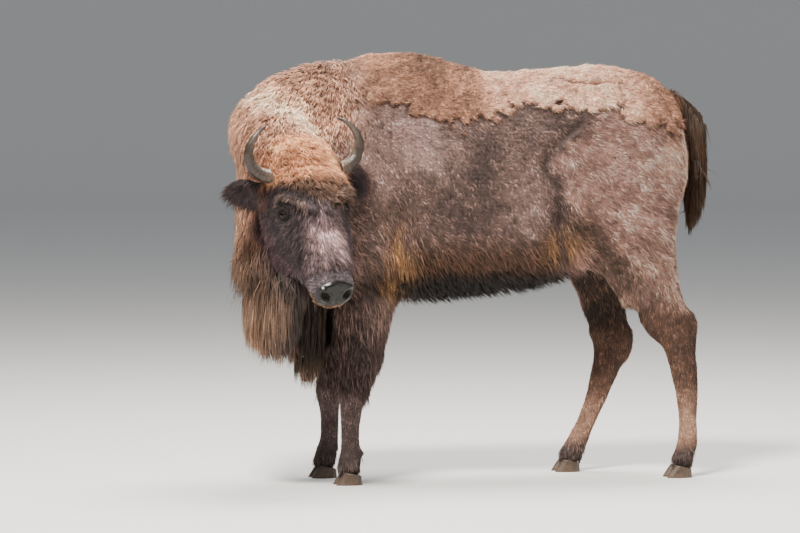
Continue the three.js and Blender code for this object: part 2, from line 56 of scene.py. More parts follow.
# ------------------------------------------------------------------ camera, floor and light

AIM = Vector((-0.2265, 0.1585, 0.803))
AZIMUTH = math.radians(-14.0)
ELEVATION = math.radians(3.0)
DISTANCE = 18.0
FIELD_WIDTH = 3.008  # metres across the picture at the aim point
SENSOR = 36.0


def add_camera():
    data = bpy.data.cameras.new("camera")
    data.sensor_width = SENSOR
    data.lens = SENSOR * DISTANCE / FIELD_WIDTH
    data.clip_end = 100.0
    camera = add_object("camera", data)
    flat = math.cos(ELEVATION)
    back = Vector((math.sin(AZIMUTH) * flat, -math.cos(AZIMUTH) * flat, math.sin(ELEVATION)))
    camera.location = AIM + DISTANCE * back
    camera.rotation_euler = back.to_track_quat("Z", "Y").to_euler()
    bpy.context.scene.camera = camera


STAGE_RADIUS = 40.0
STAGE_RISE = 14.0  # the floor turns up this far from its edge, so that no horizon shows
STAGE_STEPS = 12
STAGE_SIDES = 96
FLOOR_COLOUR = (0.62, 0.61, 0.59, 1.0)
SKY_COLOUR = (0.86, 0.92, 1.0, 1.0)
SKY_STRENGTH = 0.42
LIT_POINT = Vector((0.0, 0.0, 0.8))  # what the lights point at
LIGHTS = [  # name, place, size, power and colour
    ("key", (-3.0, -4.5, 7.5), 1.8, 2250.0, (1.0, 0.95, 0.88)),
    ("fill", (5.5, -6.0, 3.5), 4.0, 170.0, (1.0, 1.0, 1.0)),
    ("top", (0.8, 1.5, 6.5), 3.5, 900.0, (1.0, 0.96, 0.9)),
]


def add_lights():
    """A soft sky and three large soft lights."""
    world = bpy.data.worlds.new("studio")
    world.use_nodes = True
    world.node_tree.nodes["Background"].inputs["Color"].default_value = SKY_COLOUR
    world.node_tree.nodes["Background"].inputs["Strength"].default_value = SKY_STRENGTH
    bpy.context.scene.world = world
    for name, place, size, power, colour in LIGHTS:
        data = bpy.data.lights.new(name, "AREA")
        data.size = size
        data.energy = power
        data.color = colour
        light = add_object(name, data)
        light.location = place
        light.rotation_euler = (Vector(place) - LIT_POINT).to_track_quat("Z", "Y").to_euler()


def add_floor():
    """A pale round floor that curves up at its edge."""
    profile = [(0.0, 0.0)]
    for angle in np.linspace(0.0, math.pi / 2.0, STAGE_STEPS + 1):
        reach = STAGE_RADIUS - STAGE_RISE * (1.0 - math.sin(angle))
        profile.append((reach, STAGE_RISE * (1.0 - math.cos(angle))))
    mesh = bpy.data.meshes.new("floor")
    with edited(mesh) as grid:
        line = [grid.verts.new((radius, 0.0, height)) for radius, height in profile]
        edges = [grid.edges.new(pair) for pair in zip(line, line[1:])]
        turn = {"cent": (0.0, 0.0, 0.0), "axis": (0.0, 0.0, 1.0), "angle": 2.0 * math.pi}
        bmesh.ops.spin(grid, geom=line + edges, steps=STAGE_SIDES, **turn)
        bmesh.ops.remove_doubles(grid, verts=grid.verts, dist=1e-4)
        bmesh.ops.recalc_face_normals(grid, faces=grid.faces)
    shade_smooth(mesh)
    mesh.materials.append(new_material("floor_pale", {"Base Color": FLOOR_COLOUR, "Roughness": 0.85}))
    floor = add_object("floor", mesh)


# ------------------------------------------------------------------ small helpers

DOWN = np.array([0.0, 0.0, -1.0])


def unit(v):
    return v / np.maximum(np.linalg.norm(v, axis=-1, keepdims=True), 1e-9)


def ramp(value, start, end):
    """0 before start and 1 after end, with a smooth step between; start may be the larger one."""
    t = np.clip((value - start) / (end - start), 0.0, 1.0)
    return t * t * (3.0 - 2.0 * t)


def hill(value, middle, width):
    """1 at the middle, falling away smoothly on both sides."""
    return np.exp(-(((value - middle) / width) ** 2))


def mix(a, b, amount):
    amount = np.asarray(amount)
    if np.ndim(a) > 1 or np.ndim(b) > 1 or np.size(a) == 3:
        amount = amount[..., None]
    return a + (np.asarray(b) - a) * amount


def scatter(cells, seed):
    """A value from -1 to 1 for every whole-numbered cell, with no pattern and always the same."""
    at = cells.astype(np.int64).astype(np.uint64)
    key = at[:, 0] * 73856093 ^ at[:, 1] * 19349663 ^ at[:, 2] * 83492791 ^ np.uint64(seed * 2654435 + 12345)
    key = (key ^ (key >> np.uint64(13))) * np.uint64(1274126177) & np.uint64(0xFFFFFFFF)
    key = key ^ (key >> np.uint64(16))
    return (key & np.uint64(0xFFFF)).astype(float) / 32767.5 - 1.0


def noise(points, size, seed=0):
    """Smooth random values from -1 to 1 that vary over `size` metres."""
    place = points / size + 100.0
    cell = np.floor(place)
    part = place - cell
    part = part * part * (3.0 - 2.0 * part)
    total = np.zeros(len(points))
    for corner in range(8):
        step = np.array([corner & 1, corner >> 1 & 1, corner >> 2 & 1])
        weight = np.prod(np.where(step, part, 1.0 - part), axis=1)
        total += weight * scatter(cell + step, seed)
    return total


def noise_vector(points, size, seed=0):
    return np.stack([noise(points, size, seed + i) for i in range(3)], axis=1)


def add_object(name, data):
    made = bpy.data.objects.new(name, data)
    bpy.context.collection.objects.link(made)
    return made


def make_active(made):
    bpy.context.view_layer.objects.active = made
    made.select_set(True)


def new_material(name, values):
    """A material with some of its shader's values set."""
    material = bpy.data.materials.new(name)
    material.use_nodes = True
    for key, value in values.items():
        material.node_tree.nodes["Principled BSDF"].inputs[key].default_value = value
    return material


@contextmanager
def edited(mesh):
    """Opens a mesh for editing and writes it back afterwards."""
    grid = bmesh.new()
    grid.from_mesh(mesh)
    grid.verts.ensure_lookup_table()
    yield grid
    grid.to_mesh(mesh)
    grid.free()


def shade_smooth(mesh):
    mesh.polygons.foreach_set("use_smooth", np.ones(len(mesh.polygons), dtype=bool))


def mesh_object(name, points, faces):
    mesh = bpy.data.meshes.new(name)
    faces = np.asarray(faces)
    count, sides = faces.shape
    mesh.vertices.add(len(points))
    mesh.vertices.foreach_set("co", np.asarray(points, dtype=np.float32).ravel())
    mesh.loops.add(count * sides)
    mesh.loops.foreach_set("vertex_index", faces.astype(np.int32).ravel())
    mesh.polygons.add(count)
    mesh.polygons.foreach_set("loop_start", np.arange(0, count * sides, sides, dtype=np.int32))
    mesh.update(calc_edges=True)
    mesh.validate()
    shade_smooth(mesh)
    return add_object(name, mesh)


def read(items, key, columns, kind=np.int32):
    """One value of every item of a mesh, as a table with so many columns."""
    flat = np.empty(len(items) * columns, dtype=kind)
    items.foreach_get(key, flat)
    return flat.reshape(-1, columns)


def coordinates(mesh):
    return read(mesh.vertices, "co", 3, np.float32).astype(float)


def edges_of(mesh):
    return read(mesh.edges, "vertices", 2)


def triangles_of(mesh):
    mesh.calc_loop_triangles()
    return read(mesh.loop_triangles, "vertices", 3)


def vertex_normals(points, triangles):
    a, b, c = (points[triangles[:, i]] for i in range(3))
    face = np.cross(b - a, c - a)
    total = np.zeros_like(points)
    for i in range(3):
        for axis in range(3):
            total[:, axis] += np.bincount(triangles[:, i], face[:, axis], len(points))
    return unit(total)


# ------------------------------------------------------------------ the head's own frame

HEAD_TURN = math.radians(108.5)
HEAD_PITCH = math.radians(64.0)
HEAD_ROLL = math.radians(13.0)
EYE_ALONG = 0.221  # the eyes' place in the head's frame
EYE_UP = -0.063


def centre(node):
    low, high = (np.array(corner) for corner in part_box(node))
    return (low + high) / 2.0


turned = Matrix.Rotation(HEAD_TURN + math.pi, 3, "Z") @ Matrix.Rotation(HEAD_PITCH, 3, "Y")
# The head's axes as columns: to the nose, to her left, and out of the face.
HEAD_AXES = np.array(turned @ Matrix.Rotation(HEAD_ROLL, 3, "X"))
EYES = {side: centre("eye_" + side) for side in ("left", "right")}
EARS = {side: centre("ear_" + side) for side in EYES}
BODY_MIDDLE = centre("tail_dock")[1]  # the y of the body's own middle plane
HEAD_ORIGIN = (EYES["left"] + EYES["right"]) / 2.0 - HEAD_AXES @ np.array([EYE_ALONG, 0.0, EYE_UP])


def to_head(points):
    return (points - HEAD_ORIGIN) @ HEAD_AXES


def from_head(vectors):
    return np.asarray(vectors) @ HEAD_AXES.T


def distance_to(places, points):
    """How far each point is from the nearer of the two eyes or ears."""
    return np.min([np.linalg.norm(points - place, axis=1) for place in places.values()], axis=0)


# ------------------------------------------------------------------ the skin

LEGS = [kind + "leg_" + side for kind in ("fore", "hind") for side in ("left", "right")]
REGIONS = {
    "trunk": ["trunk"],
    "neck": ["neck"],
    "mane": ["throat_mane"],
    "chest": ["chest_mane"],
    "head": ["head"],
    "muzzle": ["muzzle", "lower_jaw"],
    "ear": ["ear_left", "ear_right"],
    "foreleg": [leg + "_upper" for leg in LEGS[:2]],
    "forefoot": [leg + "_lower" for leg in LEGS[:2]],
    "thigh": [leg + "_upper" for leg in LEGS[2:]],
    "hindfoot": [leg + "_lower" for leg in LEGS[2:]],
    "tail": ["tail_dock", "tail_switch"],
}
FLESH = [node for nodes in REGIONS.values() for node in nodes]
HAIR_ONLY = REGIONS["mane"] + REGIONS["chest"]  # these hang from the skin and hold none themselves
HANGS_WITHIN = 0.010  # skin this near to such a node carries its hair
VOXEL = 0.0105
CLOSING = 0.0015  # what the nodes are swelled by to close the cuts between them


def solid_arrays(nodes):
    """The points and triangles of some CAD nodes, and which node each triangle belongs to."""
    points, triangles, owners, start = [], [], [], 0
    for index, node in enumerate(nodes):
        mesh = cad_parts[node].data
        own_points = coordinates(mesh)
        own_triangles = triangles_of(mesh)
        points.append(own_points)
        triangles.append(own_triangles + start)
        owners.append(np.full(len(own_triangles), index))
        start += len(own_points)
    return np.concatenate(points), np.concatenate(triangles), np.concatenate(owners)


def welded(points, triangles):
    """Points that share a place become one, so that normals are smooth across the triangles."""
    _, first, same = np.unique(np.round(points, 5), axis=0, return_index=True, return_inverse=True)
    return points[first], same.reshape(-1)[triangles]


def welded_solids(nodes):
    points, triangles, _ = solid_arrays(nodes)
    return welded(points, triangles)


def neighbour_mean(values, edges):
    a, b = edges[:, 0], edges[:, 1]
    count = np.bincount(a, minlength=len(values)) + np.bincount(b, minlength=len(values))
    columns = values.reshape(len(values), -1)
    size = len(values)
    total = [np.bincount(a, column[b], size) + np.bincount(b, column[a], size) for column in columns.T]
    mean = np.stack(total, axis=1) / np.maximum(count, 1)[:, None]
    return mean.reshape(values.shape)


def smoothed(values, edges, rounds, amount=0.5):
    for _ in range(rounds):
        step = amount if values.ndim == 1 or np.ndim(amount) == 0 else amount[:, None]
        values = values + step * (neighbour_mean(values, edges) - values)
    return values


def voxel_remesh(made, voxel):
    """Makes one closed surface of small quads from a mesh's parts."""
    remesh = made.modifiers.new("fuse", "REMESH")
    remesh.mode = "VOXEL"
    remesh.voxel_size = voxel
    make_active(made)
    bpy.ops.object.modifier_apply(modifier=remesh.name)


def fused_flesh():
    """All the flesh nodes as one closed mesh."""
    parts, faces, start = [], [], 0
    for node in FLESH:
        if node in HAIR_ONLY:
            continue
        points, triangles = welded_solids([node])
        parts.append(points + CLOSING * vertex_normals(points, triangles))
        faces.append(triangles + start)
        start += len(points)
    made = mesh_object("skin", np.concatenate(parts), np.concatenate(faces))
    voxel_remesh(made, VOXEL)
    keep_largest_piece(made)
    return made


def keep_largest_piece(made):
    """Deletes small closed pieces that the voxels leave inside the mesh."""
    mesh = made.data
    a, b = edges_of(mesh).T
    label = np.arange(len(mesh.vertices))
    while True:
        low = np.minimum(label[a], label[b])
        new = label.copy()
        np.minimum.at(new, a, low)
        np.minimum.at(new, b, low)
        new = new[new]
        if np.array_equal(new, label):
            break
        label = new
    sizes = np.bincount(label, minlength=len(label))
    lost = label != sizes.argmax()
    if lost.any():
        with edited(mesh) as grid:
            doomed = [grid.verts[i] for i in np.flatnonzero(lost)]
            bmesh.ops.delete(grid, geom=doomed, context="VERTS")


def refine(made, wanted):
    """Splits the edges whose two ends are both wanted; wanted takes points and gives true or false."""
    chosen = wanted(coordinates(made.data))
    with edited(made.data) as grid:
        edges = [e for e in grid.edges if chosen[e.verts[0].index] and chosen[e.verts[1].index]]
        bmesh.ops.subdivide_edges(grid, edges=edges, cuts=1, use_grid_fill=True, smooth=0.0)
        bmesh.ops.triangulate(grid, faces=[f for f in grid.faces if len(f.verts) > 4])


def tree_of(nodes):
    points, triangles, owners = solid_arrays(nodes)
    return BVHTree.FromPolygons(points.tolist(), triangles.tolist()), owners


def nearest_nodes(points):
    """For each point, the index in FLESH of the node whose surface is nearest."""
    tree, owners = tree_of(FLESH)
    hair_tree, hair_owners = tree_of(HAIR_ONLY)
    hair_owners = np.array([FLESH.index(HAIR_ONLY[owner]) for owner in hair_owners])
    found = np.empty(len(points), dtype=int)
    for i, point in enumerate(points.tolist()):
        hair = hair_tree.find_nearest(point, HANGS_WITHIN)[2]
        found[i] = owners[tree.find_nearest(point)[2]] if hair is None else hair_owners[hair]
    return found


def region_shares(points, edges):
    """How far each point belongs to each region, softened across the borders."""
    node = nearest_nodes(points)
    shares = {}
    for region, nodes in REGIONS.items():
        own = np.isin(node, [FLESH.index(name) for name in nodes]).astype(float)
        shares[region] = smoothed(own, edges, 16 if region in ("trunk", "neck") else 6)
    total = sum(shares.values())
    return {region: share / total for region, share in shares.items()}


# How far the skin lies inside the solids, which is the coat's depth.
COAT_DEPTH = {
    "trunk": 0.009,
    "neck": 0.028,
    "mane": 0.030,
    "chest": 0.020,
    "head": 0.009,
    "muzzle": 0.002,
    "ear": 0.003,
    "foreleg": 0.013,
    "forefoot": 0.005,
    "thigh": 0.010,
    "hindfoot": 0.004,
    "tail": 0.018,
}
TAIL_CORE = (0.45, 0.86)  # what is left of the tail's width and length without its hair
BACK_HEIGHT = 1.42  # above this the trunk carries thick wool
FOREHEAD_END = 0.14  # the long hair between the horns ends here, along the head
COAT_END = 0.075  # the height at which the coat meets the hooves


def coat_depth(skin):
    share = skin["share"]
    x, _, z = skin["points"].T
    along, _, out = skin["head"].T
    depth = sum(share[region] * value for region, value in COAT_DEPTH.items())
    depth = depth + share["trunk"] * 0.004 * ramp(z, 1.30, BACK_HEIGHT + 0.1)
    depth = depth + share["trunk"] * 0.020 * ramp(z, 0.86, 0.74)
    depth = mix(depth, 0.034, share["head"] * ramp(along, FOREHEAD_END, 0.06) * ramp(out, -0.14, -0.03))
    depth = depth - share["neck"] * (0.016 * ramp(z, 1.10, 0.95) + 0.008 * ramp(z, 1.30, 1.50))
    depth = depth + share["trunk"] * 0.010 * ramp(x, -0.32, -0.48) * ramp(z, 1.0, 1.25)
    depth = mix(depth, 0.0015, ramp(distance_to(EYES, skin["points"]), 0.095, 0.045))
    depth = mix(depth, 0.003, share["head"] * ramp(along, 0.38, 0.46))
    return mix(depth, 0.001, ramp(z, COAT_END + 0.05, COAT_END))


def measure(made):
    """The arrays that later steps use, taken from the skin's mesh as it now is."""
    points = coordinates(made.data)
    skin = {"triangles": triangles_of(made.data), "edges": edges_of(made.data)}
    skin["share"] = region_shares(points, skin["edges"])
    return settled(skin, points)


def settled(skin, points):
    """The skin with its points moved, and what follows from them brought up to date."""
    skin["points"] = points
    skin["head"] = to_head(points)
    skin["normal"] = vertex_normals(points, skin["triangles"])
    return skin


def thin_the_tail(skin):
    """Draws the tail in to the flesh inside its hair."""
    points = skin["points"]
    boxes = np.array([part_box(node) for node in REGIONS["tail"]])
    low, high = boxes[:, 0].min(axis=0), boxes[:, 1].max(axis=0)
    middle = (low + high) / 2.0
    width, drop = TAIL_CORE
    core = middle + (points - middle) * [1.0, width, 1.0]
    core[:, 2] = high[2] + (points[:, 2] - high[2]) * drop
    hang = ramp(points[:, 2], high[2] + 0.02, high[2] - 0.12)
    points = mix(points, core, skin["share"]["tail"] * hang)
    return settled(skin, smoothed(points, skin["edges"], 6))


EVENING_ROUNDS = 14
DRAWING_STEPS = 8
FOOT_DROP = 0.010  # how much deeper the feet reach into the hooves


def draw_in(skin):
    """Evens out the facets, then moves the surface inwards by the coat's depth in small steps."""
    points, edges, share = skin["points"], skin["edges"], skin["share"]
    fine = share["head"] + share["muzzle"]
    feet = share["forefoot"] + share["hindfoot"]
    amount = np.clip(0.6 - 0.15 * fine - 0.2 * feet, 0.1, 0.6)
    for _ in range(EVENING_ROUNDS):
        points = smoothed(points, edges, 1, amount)
        points = smoothed(points, edges, 1, -0.98 * amount)
    depth = smoothed(coat_depth(skin), edges, 10)
    for _ in range(DRAWING_STEPS):
        normal = smoothed(vertex_normals(points, skin["triangles"]), edges, 3)
        points = points - unit(normal) * (depth / DRAWING_STEPS)[:, None]
        points = smoothed(points, edges, 2, np.clip(depth * 12.0, 0.0, 0.5))
    points[:, 2] -= FOOT_DROP * ramp(points[:, 2], COAT_END + 0.010, COAT_END - 0.025)
    return settled(skin, points)


# ------------------------------------------------------------------ relief: body, eyelids, nostrils and mouth

# Soft hollows and swellings of her left side: place, radii, and depth inwards.
BODY_RELIEF = [
    ((-0.262, -0.130, 0.975), (0.035, 0.12, 0.150), 0.022),  # behind the elbow
    ((-0.285, -0.125, 1.200), (0.030, 0.12, 0.160), 0.010),  # behind the shoulder blade
    ((0.040, -0.130, 1.180), (0.060, 0.14, 0.190), 0.018),  # the hollow of the flank
    ((0.340, -0.050, 0.990), (0.040, 0.12, 0.110), 0.030),  # in front of the stifle
    ((0.300, -0.100, 1.270), (0.120, 0.14, 0.070), -0.014),  # the hip bone
    ((-0.120, -0.130, 1.080), (0.110, 0.14, 0.220), -0.010),  # the barrel of the ribs
    ((0.560, -0.050, 1.120), (0.090, 0.14, 0.160), -0.012),  # the haunch
    ((-0.450, -0.120, 1.150), (0.080, 0.14, 0.180), -0.014),  # the shoulder
]


def sculpt_body(skin):
    points = skin["points"]
    inward = np.zeros(len(points))
    for place, radii, depth in BODY_RELIEF:
        for mirror in (1.0, -1.0):
            at = np.array(place)
            at[1] = BODY_MIDDLE + mirror * (at[1] - BODY_MIDDLE)
            inward += depth * np.exp(-np.sum(((points - at) / radii) ** 2, axis=1))
    inward += 0.018 * hill(behind_flank(points), 0.0, 0.030) * flank_band(points)
    inward += 0.003 * noise(points, 0.16, 3) * skin["share"]["trunk"]
    return settled(skin, points - inward[:, None] * skin["normal"])


def behind_flank(points):
    """How far each place is behind the fold in front of the haunch."""
    x, _, z = points.T
    return x - 0.335 + 0.060 * hill(z, 1.18, 0.10) - 0.10 * ramp(z, 1.24, 1.40)


def flank_band(points):
    """1 at the heights over which that fold runs."""
    z = points[:, 2]
    return ramp(z, 1.38, 1.28) * ramp(z, 0.90, 0.99)


EYE_RADIUS = 0.022
LID = 0.0018  # thickness of an eyelid over the ball
LID_TURN = 0.0185  # how far from the gaze the lids leave the ball and run down to the face
GAZE = np.array([0.16, 0.76, 0.63])  # the way the eyes look and the line of their lids, on her left
LID_LINE = np.array([0.55, -0.52, 0.62])
OPENING = (0.0200, 0.0140)  # half the width and half the height between the lids
RIM = (0.0265, 0.0190)  # the same of the dark bare rim round them
TEAR_GROOVE = 0.050  # how far the groove at the front corner reaches from the eye's middle
BROW_FOLD = [(0.179, 0.124, -0.035), (0.201, 0.093, -0.011), (0.235, 0.046, 0.007)]  # its dark crease


def on_side(values, side):
    return np.array(values) * [1.0, 1.0 if side == "left" else -1.0, 1.0]


def eye_axes(side):
    """Along the lids to the front corner, up across them, and the gaze, in the head's frame."""
    gaze = unit(on_side(GAZE, side))
    line = on_side(LID_LINE, side)
    along = unit(line - gaze * (gaze @ line))
    up = np.cross(along, gaze) if side == "right" else np.cross(gaze, along)
    return along, up, gaze


def about_eye(head, side):
    """Every place measured from an eye's middle: towards its front corner, up, and along its gaze."""
    along, up, gaze = eye_axes(side)
    off = head - to_head(EYES[side])
    return off @ along, off @ up, off @ gaze


def lid_height(a, b):
    """How far a place is past the lids' edge: below 1 it is between them."""
    corner = 1.0 - np.clip(np.abs(a) / OPENING[0], 0.0, 1.0) ** 3.0
    half = np.where(b > 0, OPENING[1], 0.75 * OPENING[1]) * np.maximum(corner, 0.02)
    return np.abs(b) / half + np.where(np.abs(a) > OPENING[0], 3.0, 0.0)


def from_lids(a, b, c):
    """How far each place is from the eye's opening, 1 on the dark bare rim of the lids."""
    return np.where(c > -0.03, np.hypot(a / RIM[0], (b - 0.001) / RIM[1]), 9.0)


def nearest_lids(head):
    return np.min([from_lids(*about_eye(head, side)) for side in EYES], axis=0)


def tear_groove(a, b, c):
    """1 in the dark groove that runs from an eye's front corner."""
    line = b + 0.10 * (a - OPENING[0])
    reach = ramp(a, OPENING[0] - 0.004, OPENING[0]) * ramp(a, TEAR_GROOVE, OPENING[0] + 0.012)
    return hill(line, 0.0, 0.0050) * reach * (c > -0.02)


def from_crease(head, side):
    """The distance of every place from the crease under the brow, and how far it is above it."""
    points = [on_side(point, side) for point in BROW_FOLD]
    nearest = np.full(len(head), 9.0)
    above = np.zeros(len(head))
    for start, end in zip(points, points[1:]):
        step = end - start
        t = np.clip((head - start) @ step / (step @ step), 0.0, 1.0)
        off = head - start - t[:, None] * step
        distance = np.linalg.norm(off, axis=1)
        closer = distance < nearest
        nearest = np.where(closer, distance, nearest)
        above = np.where(closer, -off[:, 0], above)
    return nearest, above


def lid_profile(a, b):
    """The height of the lids over the eye's middle, along its gaze."""
    aside = np.hypot(a, b)
    height = np.sqrt((EYE_RADIUS + LID) ** 2 - np.minimum(aside, LID_TURN) ** 2)
    height = height - 0.85 * np.maximum(aside - LID_TURN, 0.0)  # down to the face
    height = height + 0.0022 * hill(aside, 0.0310, 0.005)  # the swelling round the lids
    height = height - 0.0016 * hill(aside, RIM[0], 0.0016) * (b > -0.004)  # the upper lid's crease
    behind_ball = np.sqrt(np.maximum(EYE_RADIUS**2 - aside**2, 0.0)) - 0.006
    return np.where(lid_height(a, b) < 1.0, behind_ball, height)


def eye_relief(head, side):
    """How far the brow, its crease, the tear groove and the lower lid's bag stand out."""
    a, b, c = about_eye(head, side)
    nearest, above = from_crease(head, side)
    brow = 0.0095 * hill(nearest, 0.018, 0.013) * (above > 0)
    crease = 0.0085 * hill(nearest, 0.0, 0.0060)
    bag = 0.0020 * hill(b, -0.030, 0.006) * hill(a, 0.0, 0.025) * (c > -0.02)
    return brow - crease - 0.0030 * tear_groove(a, b, c) + bag


def sculpt_eyes(skin):
    points, head = skin["points"], skin["head"]
    for side, eye in EYES.items():
        a, b, c = about_eye(head, side)
        along, up, gaze = eye_axes(side)
        hold = ramp(np.hypot(a, b), 0.043, 0.026) * (c > -0.004)
        height = lid_profile(a, b)[:, None]
        target = eye + from_head(a[:, None] * along + b[:, None] * up + height * gaze)
        points = mix(points, target, hold) + skin["normal"] * eye_relief(head, side)[:, None]
    return settled(skin, points)


NOSTRIL = np.array([0.554, 0.041, -0.056])
NOSTRIL_FACING = unit(np.array([0.62, 0.62, 0.45]))
NOSTRIL_LONG = unit(np.cross(NOSTRIL_FACING, [0.25, 0.55, -0.8]))
NOSTRIL_RADII = (0.021, 0.011)
NOSTRIL_DEPTH = 0.05
JAW_POINT = np.array([0.586, 0.0, -0.128])  # the mouth's line passes through it
JAW_NORMAL = unit(np.array([0.22, 0.0, -1.0]))


def nostril_distance(head):
    """How far each place is from the nearer nostril, 1 on its rim."""
    folded = head * [1.0, 0.0, 1.0] + np.abs(head) * [0.0, 1.0, 0.0]
    off = folded - NOSTRIL
    long = off @ NOSTRIL_LONG / NOSTRIL_RADII[0]
    wide = off @ np.cross(NOSTRIL_FACING, NOSTRIL_LONG) / NOSTRIL_RADII[1]
    return np.hypot(long, wide) + np.abs(off @ NOSTRIL_FACING) / NOSTRIL_DEPTH


def below_mouth(head):
    return (head - JAW_POINT) @ JAW_NORMAL


def from_pad(head):
    """How far along the head each place is, measured to the bowed top edge of the nose pad."""
    return head[:, 0] - 0.22 * np.abs(head[:, 1])


def sculpt_muzzle(skin):
    head = skin["head"]
    along, aside, _ = head.T
    from_rim, below = nostril_distance(head), below_mouth(head)
    nostrils = 0.015 * ramp(from_rim, 1.35, 0.45) - 0.0028 * hill(from_rim, 1.7, 0.35)
    mouth = 0.006 * hill(below, 0.0, 0.0035) * ramp(along, 0.43, 0.49)
    cleft = 0.002 * hill(aside, 0.0, 0.0022) * ramp(along, 0.55, 0.575)
    edge = 0.0030 * hill(from_pad(head), 0.503, 0.006) - 0.0065 * hill(from_pad(head), 0.528, 0.012)
    upper = (cleft + edge * ramp(np.abs(aside), 0.07, 0.05)) * (below < 0)
    inward = (nostrils + mouth + upper) * (skin["share"]["muzzle"] >= 0.2)
    return settled(skin, skin["points"] - inward[:, None] * skin["normal"])


def bare_skin(skin):
    """1 on the nose pad, the nostrils and the lips' edge, where no hair grows."""
    head = skin["head"]
    along, aside, out = head.T
    wide, below = np.abs(aside), below_mouth(head)
    pad = ramp(from_pad(head), 0.506, 0.516) * ramp(below, 0.004, -0.002)
    pad = pad * ramp(out + 0.35 * wide, -0.088, -0.074) * ramp(wide, 0.070, 0.058)
    pad = np.maximum(pad, ramp(nostril_distance(head), 2.1, 1.7))
    lips = hill(below, 0.0, 0.006) * ramp(along, 0.46, 0.5)
    return np.maximum(pad, lips) * ramp(skin["share"]["muzzle"], 0.3, 0.7)


WOOL_THICKNESS = 0.012


def raise_wool(skin):
    """The loose wool stands above the new coat, with a torn edge."""
    skin["wool"] = wool_amount(skin)
    lumps = 1.0 + 0.35 * noise(skin["points"], 0.05, 14) + 0.2 * noise(skin["points"], 0.02, 15)
    rise = WOOL_THICKNESS * skin["wool"] * lumps
    return settled(skin, skin["points"] + rise[:, None] * skin["normal"])


def store_points(made, points):
    made.data.vertices.foreach_set("co", points.astype(np.float32).ravel())
    made.data.update()


def in_box(low, high):
    """A test for places inside a box in the head's frame."""
    return lambda points: np.all((to_head(points) > low) & (to_head(points) < high), axis=1)


def near_eye(reach):
    """A test for places that are near an eye."""
    return lambda points: distance_to(EYES, points) < reach


def at_wool_edge(points):
    x, _, z = points.T
    return (x > WOOL_FRONT) & (np.abs(z + wool_tears(points) - wool_line(x)) < 0.022)


def grow_skin():
    face = in_box((0.13, -0.19, -0.20), (0.63, 0.19, 0.08))
    nose = in_box((0.50, -0.12, -0.17), (0.63, 0.12, 0.50))
    made = fused_flesh()
    for wanted in (face, nose, at_wool_edge, near_eye(0.062), near_eye(0.042)):
        refine(made, wanted)
    skin = measure(made)
    for step in (thin_the_tail, draw_in, sculpt_body, raise_wool, sculpt_eyes, sculpt_muzzle):
        skin = step(skin)
    store_points(made, skin["points"])
    return made, skin


# ------------------------------------------------------------------ colours and markings

COLOURS = {
    "side": (0.138, 0.081, 0.066),
    "rib": (0.440, 0.265, 0.235),
    "side_low": (0.098, 0.043, 0.020),
    "wool": (0.400, 0.192, 0.118),
    "wool_top": (0.170, 0.080, 0.048),
    "saddle": (0.880, 0.460, 0.315),
    # painted shade in the trunk's creases and hollows
    "hollow_shade": (0.060, 0.038, 0.032),
    # painted shadow below the loose wool's torn edge and in the rump's crack
    "crack": (0.022, 0.014, 0.011),
    "haunch": (0.400, 0.215, 0.168),
    "neck": (0.450, 0.232, 0.152),
    "cream": (1.000, 0.640, 0.430),
    "forehead": (0.800, 0.350, 0.180),
    "face": (0.042, 0.029, 0.031),
    "bridge": (0.290, 0.188, 0.185),
    "cheek": (0.076, 0.043, 0.045),
    "muzzle": (0.125, 0.094, 0.106),
    # the lower forehead hair's own dark brown, with painted shade under the hair's edge
    "brow": (0.140, 0.080, 0.055),
    "fold": (0.210, 0.135, 0.105),
    # painted shade round each eye, in its socket
    "socket_shade": (0.058, 0.039, 0.034),
    # the dark bare rim of the lids; the same colour is also painted into the brow's crease as shade
    "lids": (0.009, 0.007, 0.006),
    # the nose pad's black, lifted to a grey as a painted wet sheen
    "nose": (0.022, 0.019, 0.018),
    "chin": (0.300, 0.155, 0.055),
    # the chest mane's own dark hair, made darker still as painted shade under the head
    "chest": (0.026, 0.016, 0.010),
    "shoulder": (0.270, 0.158, 0.132),
    # the mane's own dark hair, made darker still as painted shade under the head
    "beard": (0.036, 0.025, 0.022),
    "beard_tan": (0.250, 0.145, 0.092),
    "gold": (0.430, 0.215, 0.092),
    "forearm": (0.135, 0.082, 0.066),
    # painted shade in front of the thighs and on their inner sides
    "groin_shadow": (0.034, 0.019, 0.012),
    # the belly's own dark hair, darkened further as painted shade on the underside
    "belly": (0.008, 0.003, 0.001),
    "foreleg": (0.066, 0.039, 0.034),
    "forefoot": (0.160, 0.103, 0.095),
    "thigh": (0.400, 0.225, 0.170),
    "shank": (0.054, 0.023, 0.013),
    "cannon": (0.510, 0.275, 0.185),
    "tendon": (0.022, 0.014, 0.012),
    "pastern": (0.085, 0.058, 0.052),
    "ear": (0.115, 0.050, 0.032),
    "ear_hollow": (0.030, 0.019, 0.020),
    "tail": (0.046, 0.022, 0.010),
    "hoof": (0.062, 0.041, 0.028),
    "horn_base": (0.080, 0.050, 0.030),
    "horn": (0.030, 0.021, 0.016),
    # a painted highlight on the horns' inner curve
    "horn_highlight": (0.240, 0.185, 0.145),
    "horn_tip": (0.012, 0.009, 0.008),
    "iris": (0.014, 0.007, 0.004),
    "iris_rim": (0.005, 0.004, 0.004),
    "eye_white": (0.022, 0.014, 0.011),
    "pupil": (0.002, 0.002, 0.003),
}
COLOURS = {name: np.array(value) for name, value in COLOURS.items()}

WOOL_EDGE = 1.392  # the mean height of the torn edge of the loose wool
WOOL_FRONT = -0.43  # where that edge begins behind the withers


